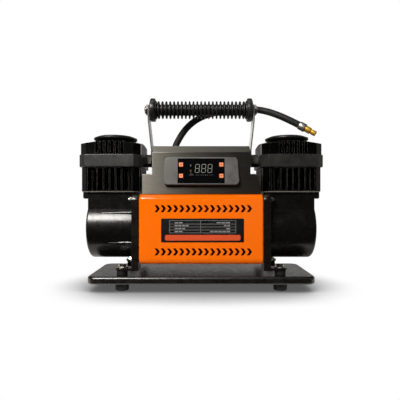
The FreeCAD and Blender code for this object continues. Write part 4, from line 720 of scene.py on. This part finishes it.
def make_label_print():
    """A ruled table with short plain bars in place of words."""
    front, back = LABEL_FACE - 0.1, LABEL_FACE + 0.05
    here = Matrix.Identity(4)
    bm = bmesh.new()
    left, right, low, high, middle, line = -43.0, 46.8, 79.5, 96.5, -1.1, 0.42
    text_left, text_right = -35.6, 39.8
    shapes = [bar(left, right, low, low + line), bar(left, right, high - line, high),
              bar(left, left + line, low + line, high - line),
              bar(right - line, right, low + line, high - line),
              bar(middle, middle + line, low + line, high - line)]
    shapes += [bar(left + line, middle, z, z + line) for z in ROW_LINES]
    shapes += [bar(middle + line, right - line, z, z + line) for z in ROW_LINES]
    for row, first_end, second_start in ROWS:
        for start, end in ((text_left, first_end), (second_start, text_right)):
            words = max(1, round((end - start) / 5.5))
            step = (end - start) / words
            for i in range(words):
                x = start + i * step
                shapes.append(bar(x, x + step - 1.1, row - 0.75, row + 0.75))
    for shape in shapes:
        plaque(bm, shape, front, back, 0.05, here)
    piece("label_table", bm, "root", "label_black", ink("label_ink", srgb(112, 112, 112), 0.5))
    bm = bmesh.new()
    plaque(bm, rounded_outline(-48.7, 53.0, 69.4, 77.0, 2.2), front, back, 0.08, here)
    piece("label_strip", bm, "root", "label_black", ink("strip_ink", srgb(172, 56, 6), 0.4))


PANEL = Matrix.Translation((0, -50, 163.2)) @ Matrix.Rotation(math.radians(-4.5), 4, "X")


def slanted(points, x, z, lean=0.07):
    """An outline moved to a place on the panel and leaned to the right."""
    return [(x + u + v * lean, z + v) for u, v in points]


def digit_segments(width, height, thick):
    """The seven segments of a digit as pointed bars round its middle."""
    half, reach, gap = thick / 2, width / 2 - thick / 2, 0.22
    middle = height / 2 - half
    shapes = []
    for z in (-middle, 0, middle):
        a, b = -reach + gap, reach - gap
        shapes.append([(a, z), (a + half, z - half), (b - half, z - half), (b, z),
                       (b - half, z + half), (a + half, z + half)])
    for x in (-reach, reach):
        for low, high in ((-middle + gap, -gap), (gap, middle - gap)):
            shapes.append([(x, low), (x + half, low + half), (x + half, high - half), (x, high),
                           (x - half, high - half), (x - half, low + half)])
    return shapes


def make_display_print():
    """Three digits and small plain marks beside and below them, all with a faint painted glow."""
    front, back = -0.12, 0.05
    bm = bmesh.new()
    for x in (-5.2, 3.3, 11.8):
        for shape in digit_segments(6.0, 11.8, 0.72):
            plaque(bm, slanted(shape, x, 3.4), front, back, 0.05, PANEL)
    # The digits get a faint painted glow.
    piece("display_digits", bm, "root", "display_black",
          ink("digit_light", srgb(100, 102, 94), 0.4, glow=0.1))
    marks = {
        "display_mark_blue": (srgb(44, 58, 90), [bar(-15.0, -13.4, 6.0, 8.8)]),
        "display_mark_red": (srgb(110, 60, 50), [bar(-15.6, -12.8, 0.4, 1.0),
                                                 bar(-14.8, -13.6, -2.0, -0.8)]),
        "display_mark_white": (srgb(82, 84, 84),
                               [bar(-16.2, -10.0, -5.8, -5.4), bar(-14.8, -11.6, -4.4, -4.0)]
                               + [bar(x, x + 1.2, -5.8, -5.3) for x in range(-7, 16, 3)]),
    }
    for name, (colour, shapes) in marks.items():
        bm = bmesh.new()
        for shape in shapes:
            plaque(bm, shape, front, back, 0.05, PANEL)
        # The marks get the same faint painted glow as the digits.
        piece(name, bm, "root", "display_black", ink(name + "_ink", colour, 0.4, glow=0.1))


BUTTONS = {
    "upper_left_button": (-BUTTON_ASIDE, 8.6), "lower_left_button": (-BUTTON_ASIDE, -6.7),
    "upper_right_button": (BUTTON_ASIDE, 8.6), "lower_right_button": (BUTTON_ASIDE, -6.7),
}


def make_button_marks():
    """A dark square mark in the middle of each button, moving with it."""
    colour = ink("button_mark_ink", srgb(168, 66, 8), 0.6)
    for name, (x, z) in BUTTONS.items():
        bm = bmesh.new()
        plaque(bm, rounded_outline(x - 1.3, x + 1.3, z - 1.2, z + 1.2, 0.4), -1.28, -1.15, 0.05,
               PANEL)
        piece(name + "_mark", bm, name, "button_orange", colour)


# ---- stage, light and camera ----

def make_floor():
    """A floor that differs by who looks at it.

    The camera sees white with a painted soft contact shadow, made from ambient occlusion. Matt
    surfaces get a dim bounce.
    surfaces mirror a nearly black floor in front of the tray and a light one under and behind it.
    """
    mesh = bpy.data.meshes.new("floor")
    half = 6.0
    front_edge, dark_edge = -0.062, -0.075
    mesh.from_pydata([(-half, -half, 0), (half, -half, 0), (half, half, 0), (-half, half, 0)], [],
                     [(0, 1, 2, 3)])
    floor = bpy.data.objects.new("floor", mesh)
    bpy.context.scene.collection.objects.link(floor)
    finish = Finish("floor_white")
    tree = finish.tree
    bounce = tree.nodes.new("ShaderNodeBsdfDiffuse")
    path = tree.nodes.new("ShaderNodeLightPath")
    close = finish.spread(finish.axes(finish.place)["Y"], dark_edge, front_edge)
    mirrored = finish.mix(close, (0.01, 0.01, 0.01, 1), (0.8, 0.8, 0.8, 1))
    lit = (0.6, 0.6, 0.6, 1)
    finish.feed(bounce.inputs["Color"], finish.mix(path.outputs["Is Glossy Ray"], lit, mirrored))
    shown = tree.nodes.new("ShaderNodeEmission")
    near = finish.add("ShaderNodeAmbientOcclusion", samples=24)
    near.inputs["Distance"].default_value = 0.11
    # Painted contact shadow: emission dimmed by ambient occlusion near the object.
    shade = finish.math("POWER", finish.spread(near.outputs["AO"], 0.0, 0.9), 3.0)
    finish.feed(shown.inputs["Strength"], finish.spread(shade, 0.0, 1.0, 0.1, 1.0))
    choose = tree.nodes.new("ShaderNodeMixShader")
    tree.links.new(path.outputs["Is Camera Ray"], choose.inputs["Fac"])
    tree.links.new(bounce.outputs[0], choose.inputs[1])
    tree.links.new(shown.outputs[0], choose.inputs[2])
    tree.links.new(choose.outputs[0], tree.nodes["Material Output"].inputs["Surface"])
    mesh.materials.append(finish.material)


def make_world():
    """White to the camera; to the object, a dark room with a low grey backdrop behind."""
    world = bpy.data.worlds.new("studio")
    bpy.context.scene.world = world
    world.use_nodes = True
    tree = world.node_tree
    tree.nodes.clear()
    seen = tree.nodes.new("ShaderNodeBackground")
    felt = tree.nodes.new("ShaderNodeBackground")
    seen.inputs["Color"].default_value = (1, 1, 1, 1)
    felt.inputs["Color"].default_value = (1.0, 0.96, 0.91, 1)
    place = tree.nodes.new("ShaderNodeTexCoord")
    split = tree.nodes.new("ShaderNodeSeparateXYZ")
    tree.links.new(place.outputs["Generated"], split.inputs[0])
    behind = ramp(tree, split.outputs["Y"], 0.0, 0.6, 0.0, 0.5)
    low = ramp(tree, split.outputs["Z"], 0.25, 0.6, 1.0, 0.04)
    backdrop = tree.nodes.new("ShaderNodeMath")
    backdrop.operation = "MULTIPLY"
    tree.links.new(behind, backdrop.inputs[0])
    tree.links.new(low, backdrop.inputs[1])
    everywhere = tree.nodes.new("ShaderNodeMath")
    everywhere.inputs[1].default_value = 0.015
    tree.links.new(backdrop.outputs[0], everywhere.inputs[0])
    tree.links.new(everywhere.outputs[0], felt.inputs["Strength"])
    path = tree.nodes.new("ShaderNodeLightPath")
    choose = tree.nodes.new("ShaderNodeMixShader")
    output = tree.nodes.new("ShaderNodeOutputWorld")
    tree.links.new(path.outputs["Is Camera Ray"], choose.inputs["Fac"])
    tree.links.new(felt.outputs[0], choose.inputs[1])
    tree.links.new(seen.outputs[0], choose.inputs[2])
    tree.links.new(choose.outputs[0], output.inputs["Surface"])


def softbox(name, turn, rise, distance, width, height, power, colour, mirrored=True, aside=0.0):
    """A soft light aimed at the object; turn is degrees right of the front, rise degrees up.

    aside slides light and aim together along X, in metres.
    """
    middle = Vector((aside, 0, 0.13))
    a, e = math.radians(turn), math.radians(rise)
    toward = Vector((math.sin(a) * math.cos(e), -math.cos(a) * math.cos(e), math.sin(e)))
    light = bpy.data.lights.new(name, "AREA")
    light.shape = "RECTANGLE"
    light.size = width
    light.size_y = height
    light.energy = power
    light.color = colour
    thing = bpy.data.objects.new(name, light)
    thing.location = middle + toward * distance
    thing.rotation_euler = (-toward).to_track_quat("-Z", "Y").to_euler()
    thing.visible_camera = False
    thing.visible_glossy = mirrored
    bpy.context.scene.collection.objects.link(thing)


def make_lights():
    """A wide key softbox at the front left, a weak overhead light, and fills."""
    warm = (1.0, 0.97, 0.92)
    softbox("key", 0, 38, 1.5, 0.9, 0.54, 50, warm, aside=-0.8)
    softbox("overhead", 0, 84, 1.4, 1.2, 0.5, 3.5, (1, 1, 1), aside=-0.3)
    softbox("fill", 60, 20, 1.5, 0.4, 0.8, 0.6, warm)
    softbox("wash", 30, 8, 1.5, 1.5, 1.0, 11, (1, 1, 1), mirrored=False)


def make_camera():
    """A level camera straight in front, its frame slid a little to centre the object."""
    data = bpy.data.cameras.new("camera")
    data.sensor_width = 36.0
    data.lens = 34.02
    data.shift_x = -0.003
    data.shift_y = -0.00375
    data.clip_start = 0.02
    camera = bpy.data.objects.new("camera", data)
    camera.location = (0.0, -0.560, 0.126)
    camera.rotation_euler = (math.radians(90), 0, 0)
    bpy.context.scene.collection.objects.link(camera)
    bpy.context.scene.camera = camera


dress_cad_nodes()
make_mount_bolts()
make_tie_rods()
make_cover_screws()
make_grip()
make_handle_nuts()
make_hose()
make_label_print()
make_display_print()
make_button_marks()
make_floor()
make_world()
make_lights()
make_camera()
bpy.context.scene.view_settings.view_transform = "Standard"
